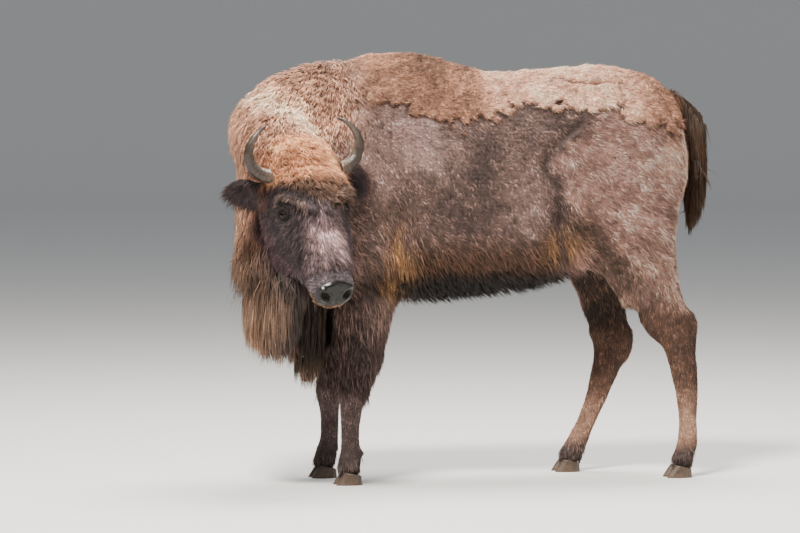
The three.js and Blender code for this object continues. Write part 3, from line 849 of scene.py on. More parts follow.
def wool_line(x):
    """The height of the wool's edge along the body, before its tears."""
    line = WOOL_EDGE - 0.055 * hill(x, -0.10, 0.10) + 0.07 * ramp(x, -0.2, -0.42)
    return line + 0.030 * hill(x, 0.36, 0.06) - 0.05 * ramp(x, 0.5, 0.8)


def wool_tears(points):
    """How far the edge is torn up or down at every place, with a few loose islands."""
    tears = 0.030 * noise(points, 0.075, 11) + 0.022 * noise(points, 0.030, 12)
    return tears + 0.014 * noise(points, 0.013, 13) + 0.045 * ramp(noise(points, 0.045, 16), 0.45, 0.75)


def wool_amount(skin):
    """1 on the loose wool along the back, 0 below its torn edge."""
    x, _, z = skin["points"].T
    over = z + wool_tears(skin["points"]) - wool_line(x)
    back = skin["share"]["trunk"] + skin["share"]["thigh"]
    back = back * ramp(x, WOOL_FRONT - 0.04, WOOL_FRONT + 0.06)
    return ramp(over, -0.003, 0.003) * back * (1.0 - rump_crack(skin["points"]))


def rump_crack(points):
    """1 in the crack across the loose wool of the rump."""
    x, _, z = points.T
    line = z - 1.488 - 0.10 * (x - 0.36) ** 2 + 0.022 * noise(points, 0.05, 17)
    return hill(line, 0.0, 0.0045) * ramp(x, 0.26, 0.34) * ramp(x, 0.66, 0.55)


def painted(colour, *layers):
    """A colour with others laid over it, each as strongly as the amount beside its name."""
    for name, amount in layers:
        colour = mix(colour, COLOURS[name], amount)
    return colour


def blended(share, values):
    """The regions' values, mixed by how far each point belongs to each region."""
    return sum(share[region][:, None] * value for region, value in values.items())


def body_colour(skin, x, z):
    """The trunk: a new coat with pale and dark places, painted shade in its creases and hollows and below the
    wool, and loose wool with a torn edge over it.
    """
    points = skin["points"]
    rib = hill(x, -0.23, 0.14) * ramp(z, 1.08, 1.28)
    loin = hill(x, 0.22, 0.08) * hill(z, 1.05, 0.14)
    creases = ramp(noise(points * [1.0, 1.0, 0.22], 0.016, 33), 0.35, 0.8)
    flank = hill(x, 0.03, 0.07) * ramp(z, 0.92, 1.0) * ramp(z, 1.4, 1.25)
    hip, shoulder = hill(x, 0.40, 0.10) * hill(z, 1.34, 0.055), hill(x, -0.09, 0.05) * hill(z, 1.03, 0.09)
    behind = behind_flank(points) + 0.030 * noise(points, 0.06, 39)
    body = painted(
        COLOURS["side"],
        ("rib", np.clip(0.9 * rib + 0.4 * loin, 0.0, 0.9)),
        ("shoulder", ramp(x, -0.20, -0.36) * ramp(z, 1.00, 1.20)),
        ("haunch", ramp(behind, -0.01, 0.09)),
        # painted shade in the creases of the ribs, in the flank's hollow and two smaller patches, and along
        # the fold in front of the haunch
        ("hollow_shade", 0.65 * creases * rib),
        ("hollow_shade", 0.55 * np.clip(flank + hip + shoulder, 0.0, 1.0)),
        ("hollow_shade", 0.75 * hill(behind, 0.005, 0.028) * flank_band(points)),
        ("side_low", 0.85 * ramp(z, 0.96, 0.84) * ramp(behind, 0.03, -0.06) * ramp(x, -0.38, -0.30)),
        # under the belly the dark hair is darkened further as painted shade
        ("belly", ramp(z, 0.84, 0.77) * ramp(x, 0.50, 0.36) * ramp(x, -0.50, -0.36)),
        ("saddle", 0.45 * ramp(x, 0.70, 0.79) * ramp(z, 1.08, 1.18)),
        # painted shadow just below the wool's torn edge and along the rump's crack
        ("crack", 0.9 * skin["below_wool_shade"]),
    )
    pale = ramp(x + 0.10 * noise(points, 0.09, 42), -0.06, 0.22) * ramp(x, 0.78, 0.50)
    top = 0.7 * hill(x, -0.17, 0.09) * ramp(z, 1.37, 1.43)
    body = mix(body, painted(COLOURS["wool"], ("saddle", pale), ("wool_top", top)), skin["wool"])
    return painted(body, ("neck", 0.9 * ramp(x, -0.32, -0.48) * ramp(z, 1.15, 1.45)))


STRIPE = (-0.702, 1.415)  # x and z of the middle of the cream stripe on the neck
STRIPE_ACROSS = (0.764, 0.645)


def neck_colours(points, x, z):
    """The mane under the throat, dark with a tan front, and the neck above it. The mane's dark is its own
    dark hair deepened as painted shade under the head; the neck has painted shade under the ears.
    """
    front = ramp(x + 0.03 * noise(points, 0.05, 21), -0.74, -0.88)
    tan = 0.85 * front + 0.6 * ramp(z, 0.56, 0.46) + 0.25 * noise(points, 0.05, 22)
    mane = painted(COLOURS["beard"], ("beard_tan", np.clip(tan, 0.0, 1.0)))
    off_stripe = STRIPE_ACROSS[0] * (x - STRIPE[0]) + STRIPE_ACROSS[1] * (z - STRIPE[1])
    neck = painted(
        mix(COLOURS["neck"], mane, ramp(z, 1.14, 0.92)),
        # painted shade on the neck under and near the ears, in the ears' dark colour
        ("ear", 0.80 * ramp(distance_to(EARS, points), 0.25, 0.14)),
        ("ear", 0.6 * hill(z, 0.95, 0.06) * front),
        ("cream", 0.85 * hill(off_stripe, 0.0, 0.058) * ramp(z, 1.50, 1.42)),
    )
    return {"mane": mane, "neck": neck}


def leg_colours(skin, x, z):
    rear = ramp(skin["normal"][:, 0], 0.15, 0.70)
    low = ramp(z, 0.16, 0.10)
    upper = np.maximum(ramp(z, 0.56, 0.76), 0.75 * ramp(x, 0.76, 0.83))
    cannon = painted(COLOURS["cannon"], ("shank", 0.85 * ramp(z, 0.20, 0.40)), ("tendon", 0.20 * rear))
    return {
        "foreleg": painted(COLOURS["foreleg"], ("forearm", ramp(z, 0.50, 0.66))),
        "forefoot": painted(COLOURS["forefoot"], ("pastern", low)),
        "thigh": painted(COLOURS["shank"], ("thigh", upper), ("haunch", ramp(z, 0.85, 1.05))),
        "hindfoot": painted(cannon, ("pastern", low)),
    }


def groin_shade(skin, x, z):
    """1 where shade is painted: in the fold in front of the thighs and on their inner sides."""
    off_fold = x - 0.44 - 0.9 * np.clip(0.95 - z, 0.0, 0.2)
    fold = hill(off_fold, 0.0, 0.085) * ramp(z, 1.05, 0.95) * ramp(z, 0.66, 0.76)
    outwards = skin["normal"][:, 1] * np.sign(skin["points"][:, 1] - BODY_MIDDLE)
    between = ramp(outwards, 0.2, -0.3) * ramp(x, 0.35, 0.45) * ramp(z, 0.46, 0.60)
    return np.maximum(fold, between)


def markings(skin):
    """The coat's colour at every point of the skin."""
    points, share = skin["points"], skin["share"]
    x = points[:, 0] + 0.045 * noise(points, 0.12, 35) + 0.020 * noise(points, 0.04, 36)
    z = points[:, 2] + 0.018 * noise(points, 0.10, 38)
    face = face_colours(skin)
    hollow = ramp(ear_hollow(skin), -0.1, 0.3) * ramp(distance_to(EARS, points), 0.080, 0.052)
    regions = {
        "trunk": body_colour(skin, x, z),
        # the chest mane's dark is partly its own hair and partly painted shade under the head
        "chest": painted(COLOURS["chest"], ("beard_tan", 0.7 * ramp(z, 0.49, 0.41))),
        "head": face,
        "muzzle": face,
        "ear": painted(COLOURS["ear"], ("ear_hollow", hollow)),
        "tail": COLOURS["tail"],
    }
    regions.update(neck_colours(points, x, z))
    regions.update(leg_colours(skin, x, z))
    rear = share["trunk"] + share["thigh"]
    gold = hill(x, -0.30, 0.055) * hill(z, 0.85, 0.13) * share["trunk"]
    gold = gold + hill(x, 0.35, 0.07) * hill(z, 0.89, 0.05) * rear
    streaks = ramp(noise(points * [1.0, 1.0, 0.35], 0.018, 37), -0.45, 0.35)
    colour = painted(
        blended(share, regions),
        # painted shade in the fold in front of the thighs and between them
        ("groin_shadow", 0.90 * groin_shade(skin, x, z) * rear),
        ("gold", 0.9 * np.clip(gold, 0.0, 1.0) * streaks),
    )
    blotch = 1.0
    for amount, size, seed in ((0.16, 0.11, 31), (0.26, 0.035, 32), (0.32, 0.014, 34)):
        blotch = blotch + amount * noise(points, size, seed)
    return np.clip(colour * blotch[:, None], 0.004, 1.0)


def hair_end(aside):
    """How far down the head the forehead's hair reaches; it lies a little towards her left."""
    return 0.200 + 0.55 * aside - 1.2 * aside**2


def face_colours(skin):
    head = skin["head"]
    along, aside, out = head.T
    wide = np.abs(aside)
    pale = ramp(along, 0.22, 0.32) * (0.35 + 0.65 * ramp(along, 0.41, 0.35))
    below_hair = along - hair_end(aside)
    high = ramp(below_hair + 0.5 * aside + 0.02 * noise(skin["points"], 0.03, 40), -0.060, -0.115)
    colour = painted(
        COLOURS["face"],
        ("bridge", ramp(wide, 0.085, 0.025) * pale * ramp(out, -0.16, -0.07)),
        ("cheek", 0.85 * ramp(out, -0.11, -0.20) * ramp(along, 0.47, 0.38)),
        ("muzzle", ramp(along, 0.455, 0.485)),
    )
    # the lower forehead hair and the skin just past its edge take the brow colour: partly the hair's own dark
    # brown, partly painted shade under the edge of the forehead hair
    hairy = ramp(below_hair, 0.012, -0.030) * ramp(out, -0.17, -0.06)
    colour = mix(colour, painted(COLOURS["brow"], ("forehead", high)), hairy)
    for side in EYES:
        a, b, c = about_eye(head, side)
        rim = from_lids(a, b, c)
        nearest, above = from_crease(head, side)
        colour = painted(
            colour,
            # painted shade in the eye's socket
            ("socket_shade", 0.80 * ramp(rim, 2.7, 1.4)),
            ("fold", 0.40 * hill(nearest, 0.020, 0.012) * (above > 0) * ramp(wide, 0.03, 0.06)),
            # the crease under the brow, darkened with the lids' colour as painted shade
            ("lids", 0.9 * hill(nearest, 0.0, 0.0105)),
            ("lids", np.maximum(ramp(rim, 1.35, 1.10), tear_groove(a, b, c))),
        )
    lips = np.maximum(ramp(below_mouth(head), 0.006, 0.012), ramp(out, -0.078, -0.098))
    # the bare nose pad's colour is partly its own black and partly a painted wet sheen
    return painted(colour, ("chin", 0.85 * lips * ramp(along, 0.50, 0.53)), ("nose", skin["bare"]))


def ear_hollow(skin):
    """Above 0 on the hollow side of the ears."""
    facing = from_head(unit(np.array([0.3, 0.0, 0.9])))
    return skin["normal"] @ facing


# ------------------------------------------------------------------ the lie of the coat and its locks

# Where the coat lies the same way all over a region.
LIES = {
    "mane": (0.0, 0.0, -1.0),
    "chest": (0.12, 0.0, -1.0),
    "foreleg": (0.16, 0.0, -1.0),
    "forefoot": (0.06, 0.0, -1.0),
    "hindfoot": (0.10, 0.0, -1.0),
    "tail": (0.05, 0.0, -1.0),
}
EAR_LIES = {"left": (-0.42, 0.74, -0.52), "right": (-0.30, -0.94, -0.15)}  # in the head's frame


def flat_on(vectors, normal):
    """The vectors without their parts across the surface."""
    return vectors - np.sum(vectors * normal, axis=1, keepdims=True) * normal


def face_lie(skin):
    """Towards the nose and fanning out, down the cheeks, and round the lips."""
    along, aside, _ = skin["head"].T
    fan = np.clip(aside / 0.09, -1.2, 1.2)
    cheek = ramp(np.abs(aside), 0.05, 0.12)
    ones = np.ones(len(fan))
    face = np.stack([0.9 - 0.35 * cheek, 0.6 * fan, -0.85 * cheek], axis=1)
    forehead = np.stack([0.9 * ones, 0.35 + 0.45 * fan, 0.2 * ones], axis=1)
    lips = np.stack([-0.15 * ones, 0.3 * fan, -ones], axis=1)
    face = mix(face, forehead, ramp(along - hair_end(aside), 0.0, -0.05))
    return from_head(mix(face, lips, ramp(along, 0.46, 0.50)))


def coat_lie(skin):
    """The direction in which the hair lies at every point, along the skin."""
    points, share, normal = skin["points"], skin["share"], skin["normal"]
    x, y, z = points.T
    back = mix([0.62, 0.0, -0.72], [0.95, 0.0, -0.22], ramp(z, 1.25, 1.5))
    back = mix(back, [0.85, 0.0, -0.45], ramp(x, 0.30, 0.50))
    back = mix(back, [0.25, 0.0, -0.95], hill(x, -0.27, 0.10) * ramp(z, 1.05, 0.92))
    back = mix(back, [0.02, 0.0, -0.85], ramp(x, -0.32, -0.46) * ramp(z, 1.0, 1.2))
    face = face_lie(skin)
    regions = {
        "trunk": back + np.sign(y - BODY_MIDDLE)[:, None] * [0.0, 0.25, 0.0],
        "neck": mix([-0.30, -0.25, -0.85], [-0.45, -0.40, -0.60], ramp(z, 1.36, 1.5)),
        "head": face,
        "muzzle": face,
        "thigh": mix([0.12, 0.0, -1.0], [0.80, 0.0, -0.62], ramp(z, 0.60, 0.90)),
    }
    lie = blended(share, {**LIES, **regions})
    for side, ear in EARS.items():
        near = share["ear"] * ramp(np.linalg.norm(points - ear, axis=1), 0.20, 0.14)
        spread = 0.6 * from_head(EAR_LIES[side]) + 0.6 * unit(points - ear) + 0.55 * DOWN
        lie = lie + near[:, None] * spread
    lie = lie + 0.22 * noise_vector(points, 0.13, 41)
    for _ in range(3):
        lie = smoothed(unit(flat_on(lie, normal)), skin["edges"], 4)
    return unit(flat_on(lie, normal))


@dataclass
class Growth:
    """One kind of hair: where it grows, how many locks it has, and their shape."""

    name: str
    slot: str
    where: object  # takes the skin, gives the density at every point from 0 up
    count: int
    length: object  # metres, a number or a function of the skin, as the width is
    width: object
    along: list = None  # the hair-only nodes that it is laid along, instead of the skin
    rings: int = 2  # rings of corners before the tip
    lift: float = 0.2  # how steeply the lock leaves the skin
    hang: float = 0.0  # how far it turns downwards under its weight
    wave: float = 0.0  # how far it swings from side to side
    stray: float = 0.15  # how far single locks depart from the lie
    clump: tuple = (0.02, 0.5)  # the size of clumps, and how far tips draw together
    tint: float = 0.28  # how much the shade of single locks varies
    free: float = 0.075  # how far hair laid along a node may pass its end
    taper: float = 0.45  # how early the lock narrows towards its tip
    root: float = 0.40  # the brightness at the root, darkened there as painted shade within the coat, and at the tip
    tip: float = 1.45


def sample_roots(skin, where, count, random):
    """Random places on the skin, as the three corners of a triangle and a weight for each."""
    triangles, points = skin["triangles"], skin["points"]
    a, b, c = (points[triangles[:, i]] for i in range(3))
    area = np.linalg.norm(np.cross(b - a, c - a), axis=1)
    chance = area * where[triangles].mean(axis=1)
    edges = np.cumsum(chance)
    picked = np.searchsorted(edges, random.random(count) * edges[-1])
    u, v = random.random((2, count))
    flip = u + v > 1.0
    u, v = np.where(flip, 1.0 - u, u), np.where(flip, 1.0 - v, v)
    return triangles[picked], np.stack([1.0 - u - v, u, v], axis=1), picked


def at_roots(values, corners, weights):
    values = np.asarray(values, dtype=float)
    if values.ndim == 0:
        return np.full(len(corners), float(values))
    if values.ndim == 1:
        return np.sum(values[corners] * weights, axis=1)
    return np.sum(values[corners] * weights[..., None], axis=1)


ROOT_SINK = 0.0015  # how deep the locks start under the skin, and the most as a share of their length
SINK_SHARE = 0.05
HANGING_SINK = 0.016  # and under the surface of the manes and the tail
RAGGED = 0.045  # how much shorter some clumps of that hair end
SHORTEST = 0.02
ABOVE_FLOOR = 0.002
PATCH = 0.003  # the size of a lock's patch on the skin's unwrap
RIDGE = 0.42  # the height of a lock's ridge, as a share of its width
MOST_TRIANGLES = 190000


def not_into(vectors, normal):
    """The vectors without what points into the surface."""
    return vectors - np.minimum(np.sum(vectors * normal, axis=1, keepdims=True), 0.0) * normal


def clump_of(root, size):
    """The way from each root to the middle of its clump, and the clump's own random value."""
    warped = root + 0.5 * size * noise_vector(root, 1.7 * size, 51)
    cell = np.floor(warped / size)
    jitter = np.stack([scatter(cell, 71 + axis) for axis in range(3)], axis=1)
    return (cell + 0.5 + 0.3 * jitter) * size - warped, scatter(cell, 75)


def lock_points(growth, root, normal, lie, length, width, random):
    """The corners of every lock: rings of two edges and a ridge, then one tip."""
    count = len(root)
    length, width = length[:, None], width[:, None]
    lie = unit(flat_on(lie + growth.stray * random.normal(size=(count, 3)), normal))
    side = np.cross(lie, normal)
    start = mix(lie, DOWN, 0.6 * growth.hang)
    start = unit(start if growth.along else not_into(start, normal))
    lift = growth.lift * (0.6 + 0.8 * random.random(count))[:, None]
    gather = growth.clump[1] * flat_on(clump_of(root, growth.clump[0])[0], normal)
    phase = random.random(count)[:, None] * 2.0 * math.pi
    sink = HANGING_SINK if growth.along else np.minimum(ROOT_SINK, SINK_SHARE * length)
    centres = [root - sink * normal]
    for segment in range(growth.rings):
        t = (segment + 0.5) / growth.rings
        ahead = start + lift * (1.0 - 0.9 * t) * normal
        turn = phase + 6.0 * t
        ahead = ahead + growth.wave * (np.sin(turn) * side + 0.6 * np.cos(turn) * normal)
        ahead = unit(mix(unit(ahead), DOWN, growth.hang * t))
        centres.append(centres[-1] + (length * ahead + gather) / growth.rings)
    steps = [ring / growth.rings for ring in range(growth.rings)] + [1.0]
    rings = []
    for ring, t in enumerate(steps[:-1]):
        ahead = unit(centres[ring + 1] - centres[ring])
        across = unit(np.cross(ahead, normal) + 0.2 * side)
        up = np.cross(across, ahead)
        share = 0.62 + 0.38 * math.sin(math.pi * min(t + 0.15, 1.0))
        half = 0.5 * width * share * (1.0 - t) ** growth.taper
        ridge = centres[ring] + 2.0 * RIDGE * half * up
        rings += [centres[ring] - half * across, ridge, centres[ring] + half * across]
    corners = np.stack(rings + [centres[-1]], axis=1)
    corners[..., 2] = np.maximum(corners[..., 2], ABOVE_FLOOR)
    return corners, steps


def lock_triangles(rings):
    """The triangles of one closed lock. They all face inwards."""
    faces = [(0, 1, 2)]
    for ring in range(rings - 1):
        for i in range(3):
            a, b = 3 * ring + i, 3 * ring + (i + 1) % 3
            faces += [(a, a + 3, b), (b, a + 3, b + 3)]
    last, tip = 3 * (rings - 1), 3 * rings
    faces += [(last + i, tip, last + (i + 1) % 3) for i in range(3)]
    return np.array(faces)


def hanging_body(nodes):
    """The surface of nodes that are all hair, in the form that the growing of locks takes."""
    points, triangles = welded_solids(nodes)
    body = settled({"triangles": triangles}, points)
    owner = next(region for region, members in REGIONS.items() if nodes[0] in members)
    body["share"] = {region: np.full(len(points), float(region == owner)) for region in REGIONS}
    for key in ("wool", "below_wool_shade", "bare"):
        body[key] = np.zeros(len(points))
    body["colour"] = markings(body)
    body["lie"] = unit(flat_on(DOWN + 0.2 * noise_vector(points, 0.12, 41), body["normal"]))
    return body


def room_below(nodes, root):
    """How far each root is above the lowest surface of some nodes under it."""
    tree, _ = tree_of(nodes)
    hits = [tree.ray_cast((x, y, 0.0), tuple(-DOWN))[0] for x, y, _ in root.tolist()]
    lowest = np.array([z if hit is None else hit.z for hit, z in zip(hits, root[:, 2])])
    return root[:, 2] - lowest


def nearest_on(skin, root):
    """The place on the skin's unwrap nearest to each root."""
    tree = BVHTree.FromPolygons(skin["points"].tolist(), skin["triangles"].tolist())
    nearest = [tree.find_nearest(point)[2] for point in root.tolist()]
    return skin["uv"][nearest].mean(axis=1)


def varied(value, body, corners, weights, random):
    """A length or width at every root, different from lock to lock."""
    value = value(body) if callable(value) else value
    return at_roots(value, corners, weights) * (0.7 + 0.6 * random.random(len(corners)))


def cut_off(growth, root, normal, length, random):
    """The lengths, cut to end raggedly near the lower edge of the nodes that the hair is laid along."""
    room = room_below(growth.along, root - HANGING_SINK * normal)
    room = room - RAGGED * (1.0 + clump_of(root, 0.05)[1]) * random.random(growth.count)
    spare = growth.free * random.random(growth.count) ** 2
    return np.clip(length, SHORTEST, np.maximum(room, SHORTEST) + spare)


def grow(growth, skin, random):
    """Makes the coat pieces of one kind of hair."""
    body = hanging_body(growth.along) if growth.along else skin
    where = np.clip(growth.where(body), 0.0, None) * (1.0 - body["bare"])
    corners, weights, picked = sample_roots(body, where, growth.count, random)
    keys = ("points", "normal", "lie", "colour")
    root, normal, lie, colour = (at_roots(body[key], corners, weights) for key in keys)
    normal = unit(normal)
    length = varied(growth.length, body, corners, weights, random)
    width = varied(growth.width, body, corners, weights, random)
    if growth.along:
        length = cut_off(growth, root, normal, length, random)
        uv = nearest_on(skin, root)
    else:
        uv = np.sum(body["uv"][picked] * weights[..., None], axis=1)
    points, steps = lock_points(growth, root, normal, unit(lie), length, width, random)
    size = growth.clump[0]
    own = 0.8 * random.normal(size=growth.count)
    own = own + 0.9 * clump_of(root, size)[1] + 0.8 * clump_of(root, 2.6 * size)[1]
    colour = colour * np.exp(growth.tint * own)[:, None]
    most = MOST_TRIANGLES // len(lock_triangles(growth.rings))
    for number, start in enumerate(range(0, growth.count, most), 1):
        part = slice(start, start + most)
        name = "coat_%s_%d" % (growth.name, number)
        add_coat_piece(name, growth, points[part], steps, uv[part], colour[part])


def add_coat_piece(name, growth, points, steps, uv, colour):
    count, corners, _ = points.shape
    faces = lock_triangles(growth.rings)
    all_faces = (faces[None] + corners * np.arange(count)[:, None, None]).reshape(-1, 3)
    piece = mesh_object(name, points.reshape(-1, 3), all_faces)
    level = np.repeat(steps[:-1], 3).tolist() + [1.0]
    across = np.tile([-0.5, 0.0, 0.5], growth.rings).tolist() + [0.0]
    place = PATCH * np.stack([across, np.array(level) - 0.5], axis=1)
    layer = piece.data.uv_layers.new(name="OFBake")
    corner_uv = (uv[:, None] + place[None])[:, faces.ravel()]
    layer.data.foreach_set("uv", corner_uv.astype(np.float32).ravel())
    # each lock darkens towards its root: painted shade within the coat
    bright = growth.root + (growth.tip - growth.root) * np.array(level) ** 0.8
    vertex_colour = colour[:, None] * bright[None, :, None]
    store_colour(piece, vertex_colour.reshape(-1, 3))
    piece.data.materials.append(MATERIALS["hair"])
    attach(piece, "root")


def store_colour(made, colour):
    layer = made.data.color_attributes.new("coat", "FLOAT_COLOR", "POINT")
    values = np.concatenate([np.clip(colour, 0.0, 1.0), np.ones((len(colour), 1))], axis=1)
    layer.data.foreach_set("color", values.astype(np.float32).ravel())


def unwrap(made, skin):
    """An unwrap of the skin by its own shape, and the place of every triangle's corners on it."""
    make_active(made)
    made.data.uv_layers.new(name="OFBake")
    bpy.ops.object.mode_set(mode="EDIT")
    bpy.ops.mesh.select_all(action="SELECT")
    bpy.ops.uv.smart_project(angle_limit=math.radians(66.0), island_margin=0.002)
    bpy.ops.object.mode_set(mode="OBJECT")
    flat = read(made.data.uv_layers["OFBake"].data, "uv", 2, np.float32)
    made.data.calc_loop_triangles()
    skin["uv"] = flat[read(made.data.loop_triangles, "loops", 3)].astype(float)


# ------------------------------------------------------------------ materials


def add_node(material, kind, **values):
    made = material.node_tree.nodes.new(kind)
    for key, value in values.items():
        if key in made.inputs:
            made.inputs[key].default_value = value
        else:
            setattr(made, key, value)
    return made


def link(material, source, target):
    material.node_tree.links.new(source, target)


def add_grain(material, scale, detail, roughness):
    place = add_node(material, "ShaderNodeTexCoord")
    grain = add_node(material, "ShaderNodeTexNoise", Scale=scale, Detail=detail, Roughness=roughness)
    link(material, place.outputs["Object"], grain.inputs["Vector"])
    return grain.outputs["Fac"]


def add_range(material, value, low, high, start=0.0, end=1.0):
    """A value that goes from low to high while another goes from start to end."""
    spread = add_node(material, "ShaderNodeMapRange")
    for key, number in (("From Min", start), ("From Max", end), ("To Min", low), ("To Max", high)):
        spread.inputs[key].default_value = number
    link(material, value, spread.inputs["Value"])
    return spread.outputs["Result"]


def marked(name, values, mottle, bump=None):
    """A material that shows the colour stored on its mesh.

    mottle is the scale of the mottling and its darkest and lightest share of that colour;
    bump is the scale, height and strength of the grain.
    """
    material = new_material(name, values)
    shader = material.node_tree.nodes["Principled BSDF"]
    marks = add_node(material, "ShaderNodeAttribute", attribute_name="coat")
    scale, low, high = mottle
    product = add_node(material, "ShaderNodeVectorMath", operation="MULTIPLY")
    link(material, marks.outputs["Color"], product.inputs[0])
    grain = add_grain(material, scale, 4.0, 0.6)
    link(material, add_range(material, grain, low, high, 0.3, 0.7), product.inputs[1])
    link(material, product.outputs["Vector"], shader.inputs["Base Color"])
    if bump:
        scale, height, strength = bump
        relief = add_node(material, "ShaderNodeBump", Strength=strength, Distance=height)
        link(material, add_grain(material, scale, 5.0, 0.65), relief.inputs["Height"])
        link(material, relief.outputs["Normal"], shader.inputs["Normal"])
    return material


def skin_material():
    """Short fur over the skin, which turns moist and smooth on the bare nose and lips."""
    values = {"Roughness": 0.75, "Specular IOR Level": 0.28}
    material = marked("skin_short_fur", values, (320.0, 0.6, 1.3), (260.0, 0.003, 0.8))
    nodes = material.node_tree.nodes
    wet = add_node(material, "ShaderNodeAttribute", attribute_name="wet").outputs["Fac"]
    link(material, add_range(material, wet, 0.78, 0.16), nodes["Principled BSDF"].inputs["Roughness"])
    link(material, add_range(material, wet, 0.8, 0.14), nodes["Bump"].inputs["Strength"])
    return material


HAIR = {"Roughness": 0.6, "Specular IOR Level": 0.22, "Sheen Weight": 0.03, "Sheen Roughness": 0.4}
HORN = {"Roughness": 0.34, "Specular IOR Level": 0.36}
WET = {"Roughness": 0.06, "Specular IOR Level": 0.12, "Coat Weight": 0.08, "Coat Roughness": 0.02}
MATERIALS = {
    "hair": marked("coat_hair", HAIR, (260.0, 0.72, 1.25), (700.0, 0.0006, 0.5)),
    "skin": skin_material(),
    "horn": marked("horn", HORN, (180.0, 0.7, 1.3), (420.0, 0.0008, 0.5)),
    "eye": marked("eye_wet", WET, (600.0, 0.85, 1.15)),
}


# ------------------------------------------------------------------ the kinds of hair


def near_eyes(skin, start, end):
    """1 within `end` metres of an eye, 0 beyond `start`."""
    return ramp(distance_to(EYES, skin["points"]), start, end)


def loose_wool(skin):
    return skin["wool"]


def ears(skin):
    return skin["share"]["ear"]


def not_on_top(body):
    """Everywhere but where a node of hair meets what it hangs from."""
    return ramp(body["normal"][:, 2], 0.35, 0.05)


def forehead(skin):
    along, aside, out = skin["head"].T
    hairy = ramp(along - hair_end(aside), -0.022, -0.050) * ramp(out, -0.20, -0.09)
    return skin["share"]["head"] * hairy * (1.0 - near_eyes(skin, 0.060, 0.045))


def forehead_length(skin):
    along, aside, _ = skin["head"].T
    return 0.036 + 0.014 * ramp(along - hair_end(aside), -0.06, -0.12)


def face(skin):
    share = skin["share"]["head"] + skin["share"]["muzzle"]
    open_eye = ramp(nearest_lids(skin["head"]), 1.30, 1.05)
    dense = 1.0 + 2.0 * near_eyes(skin, 0.07, 0.04) + 1.5 * ramp(skin["head"][:, 0], 0.45, 0.48)
    for side in EYES:
        dense = dense * (1.0 - 0.9 * hill(from_crease(skin["head"], side)[0], 0.0, 0.009))
    return share * (1.0 - open_eye) * (1.0 - 0.9 * forehead(skin)) * dense


def face_length(skin):
    along, aside, out = skin["head"].T
    length = 0.022 + 0.012 * ramp(np.abs(aside), 0.12, 0.05) * ramp(along, 0.22, 0.30)
    length = mix(length, 0.032, ramp(out, -0.12, -0.20))
    length = mix(length, 0.011, ramp(along, 0.435, 0.465))
    return mix(length, 0.007, near_eyes(skin, 0.065, 0.035))


def bridge(skin):
    """The long loose hair on the bridge of the nose, which ends in a fringe above the muzzle."""
    along, aside, _ = skin["head"].T
    middle = ramp(np.abs(aside - 0.01), 0.115, 0.070) * (1.0 - near_eyes(skin, 0.088, 0.066))
    reach = ramp(along - hair_end(aside), -0.01, 0.03) * ramp(along, 0.450, 0.425)
    return skin["share"]["head"] * reach * middle


def face_width(skin):
    along = skin["head"][:, 0]
    width = mix(0.0036, 0.0018, ramp(along, 0.44, 0.47))
    return mix(width, 0.0014, near_eyes(skin, 0.065, 0.035))


def short_coat(skin):
    share = skin["share"]
    upper = share["trunk"] * ramp(skin["points"][:, 2], 0.72, 0.80)
    return (upper + 1.1 * share["thigh"]) * (1.0 - 0.85 * skin["wool"])


def short_length(skin):
    x, _, z = skin["points"].T
    length = 0.017 + 0.011 * ramp(x, 0.22, 0.50) + 0.03 * ramp(z, 0.98, 0.80) * ramp(x, 0.45, 0.25)
    return length + 0.010 * ramp(x, -0.38, -0.50)


def belly(skin):
    """Low on the trunk, behind the elbow and in front of the haunch."""
    x, _, z = skin["points"].T
    low = ramp(z, 0.92, 0.82) * ramp(x, 0.46, 0.36)
    elbow = hill(x, -0.29, 0.06) * hill(z, 0.88, 0.14)
    flank = hill(x, 0.36, 0.07) * hill(z, 0.89, 0.08)
    share = skin["share"]
    return (low + 1.5 * elbow) * share["trunk"] + 1.2 * flank * (share["trunk"] + share["thigh"])


def chaps(skin):
    """The rear edges of the forelegs, which carry long hair."""
    behind = ramp(skin["normal"][:, 0], 0.1, 0.6)
    return skin["share"]["foreleg"] * (0.25 + behind)


def low_legs(skin):
    share = skin["share"]
    return share["forefoot"] + share["hindfoot"] + 0.7 * share["foreleg"]


def leg_length(skin):
    return 0.010 + 0.010 * ramp(skin["points"][:, 2], 0.20, 0.50)


def neck_hair(skin):
    x, _, z = skin["points"].T
    withers = ramp(x, -0.42, -0.52) * ramp(z, 1.2, 1.45)
    return skin["share"]["neck"] + 0.8 * skin["share"]["trunk"] * withers


def neck_length(skin):
    z = skin["points"][:, 2]
    front = ramp(skin["normal"][:, 0], -0.2, -0.8)
    return 0.046 + 0.030 * ramp(z, 1.10, 0.95) + 0.055 * ramp(z, 0.98, 0.86) + 0.016 * front


def jaw_hair(skin):
    """Under the jaw and down the throat, inside the beard."""
    share = skin["share"]
    along, _, out = skin["head"].T
    low_neck = share["neck"] * ramp(skin["points"][:, 2], 1.16, 0.92)
    jaw = share["head"] * ramp(out, -0.24, -0.28) * ramp(along, 0.42, 0.30)
    return (share["mane"] + 0.5 * low_neck + 0.3 * jaw) * not_below(skin)


def not_below(skin):
    """Everywhere but where the skin faces the ground, so that long hair hangs from its sides."""
    return ramp(skin["normal"][:, 2], -0.85, -0.55)


def tail_root(skin):
    return skin["share"]["tail"] * not_below(skin)


def above_hooves(skin):
    """The fringe of hair that hangs over the tops of the hooves."""
    share = skin["share"]["forefoot"] + skin["share"]["hindfoot"]
    return share * ramp(skin["points"][:, 2], 0.110, 0.085) * ramp(skin["normal"][:, 2], -0.9, -0.5)


def ear_length(skin):
    return 0.022 + 0.022 * ramp(ear_hollow(skin), -0.1, 0.3)


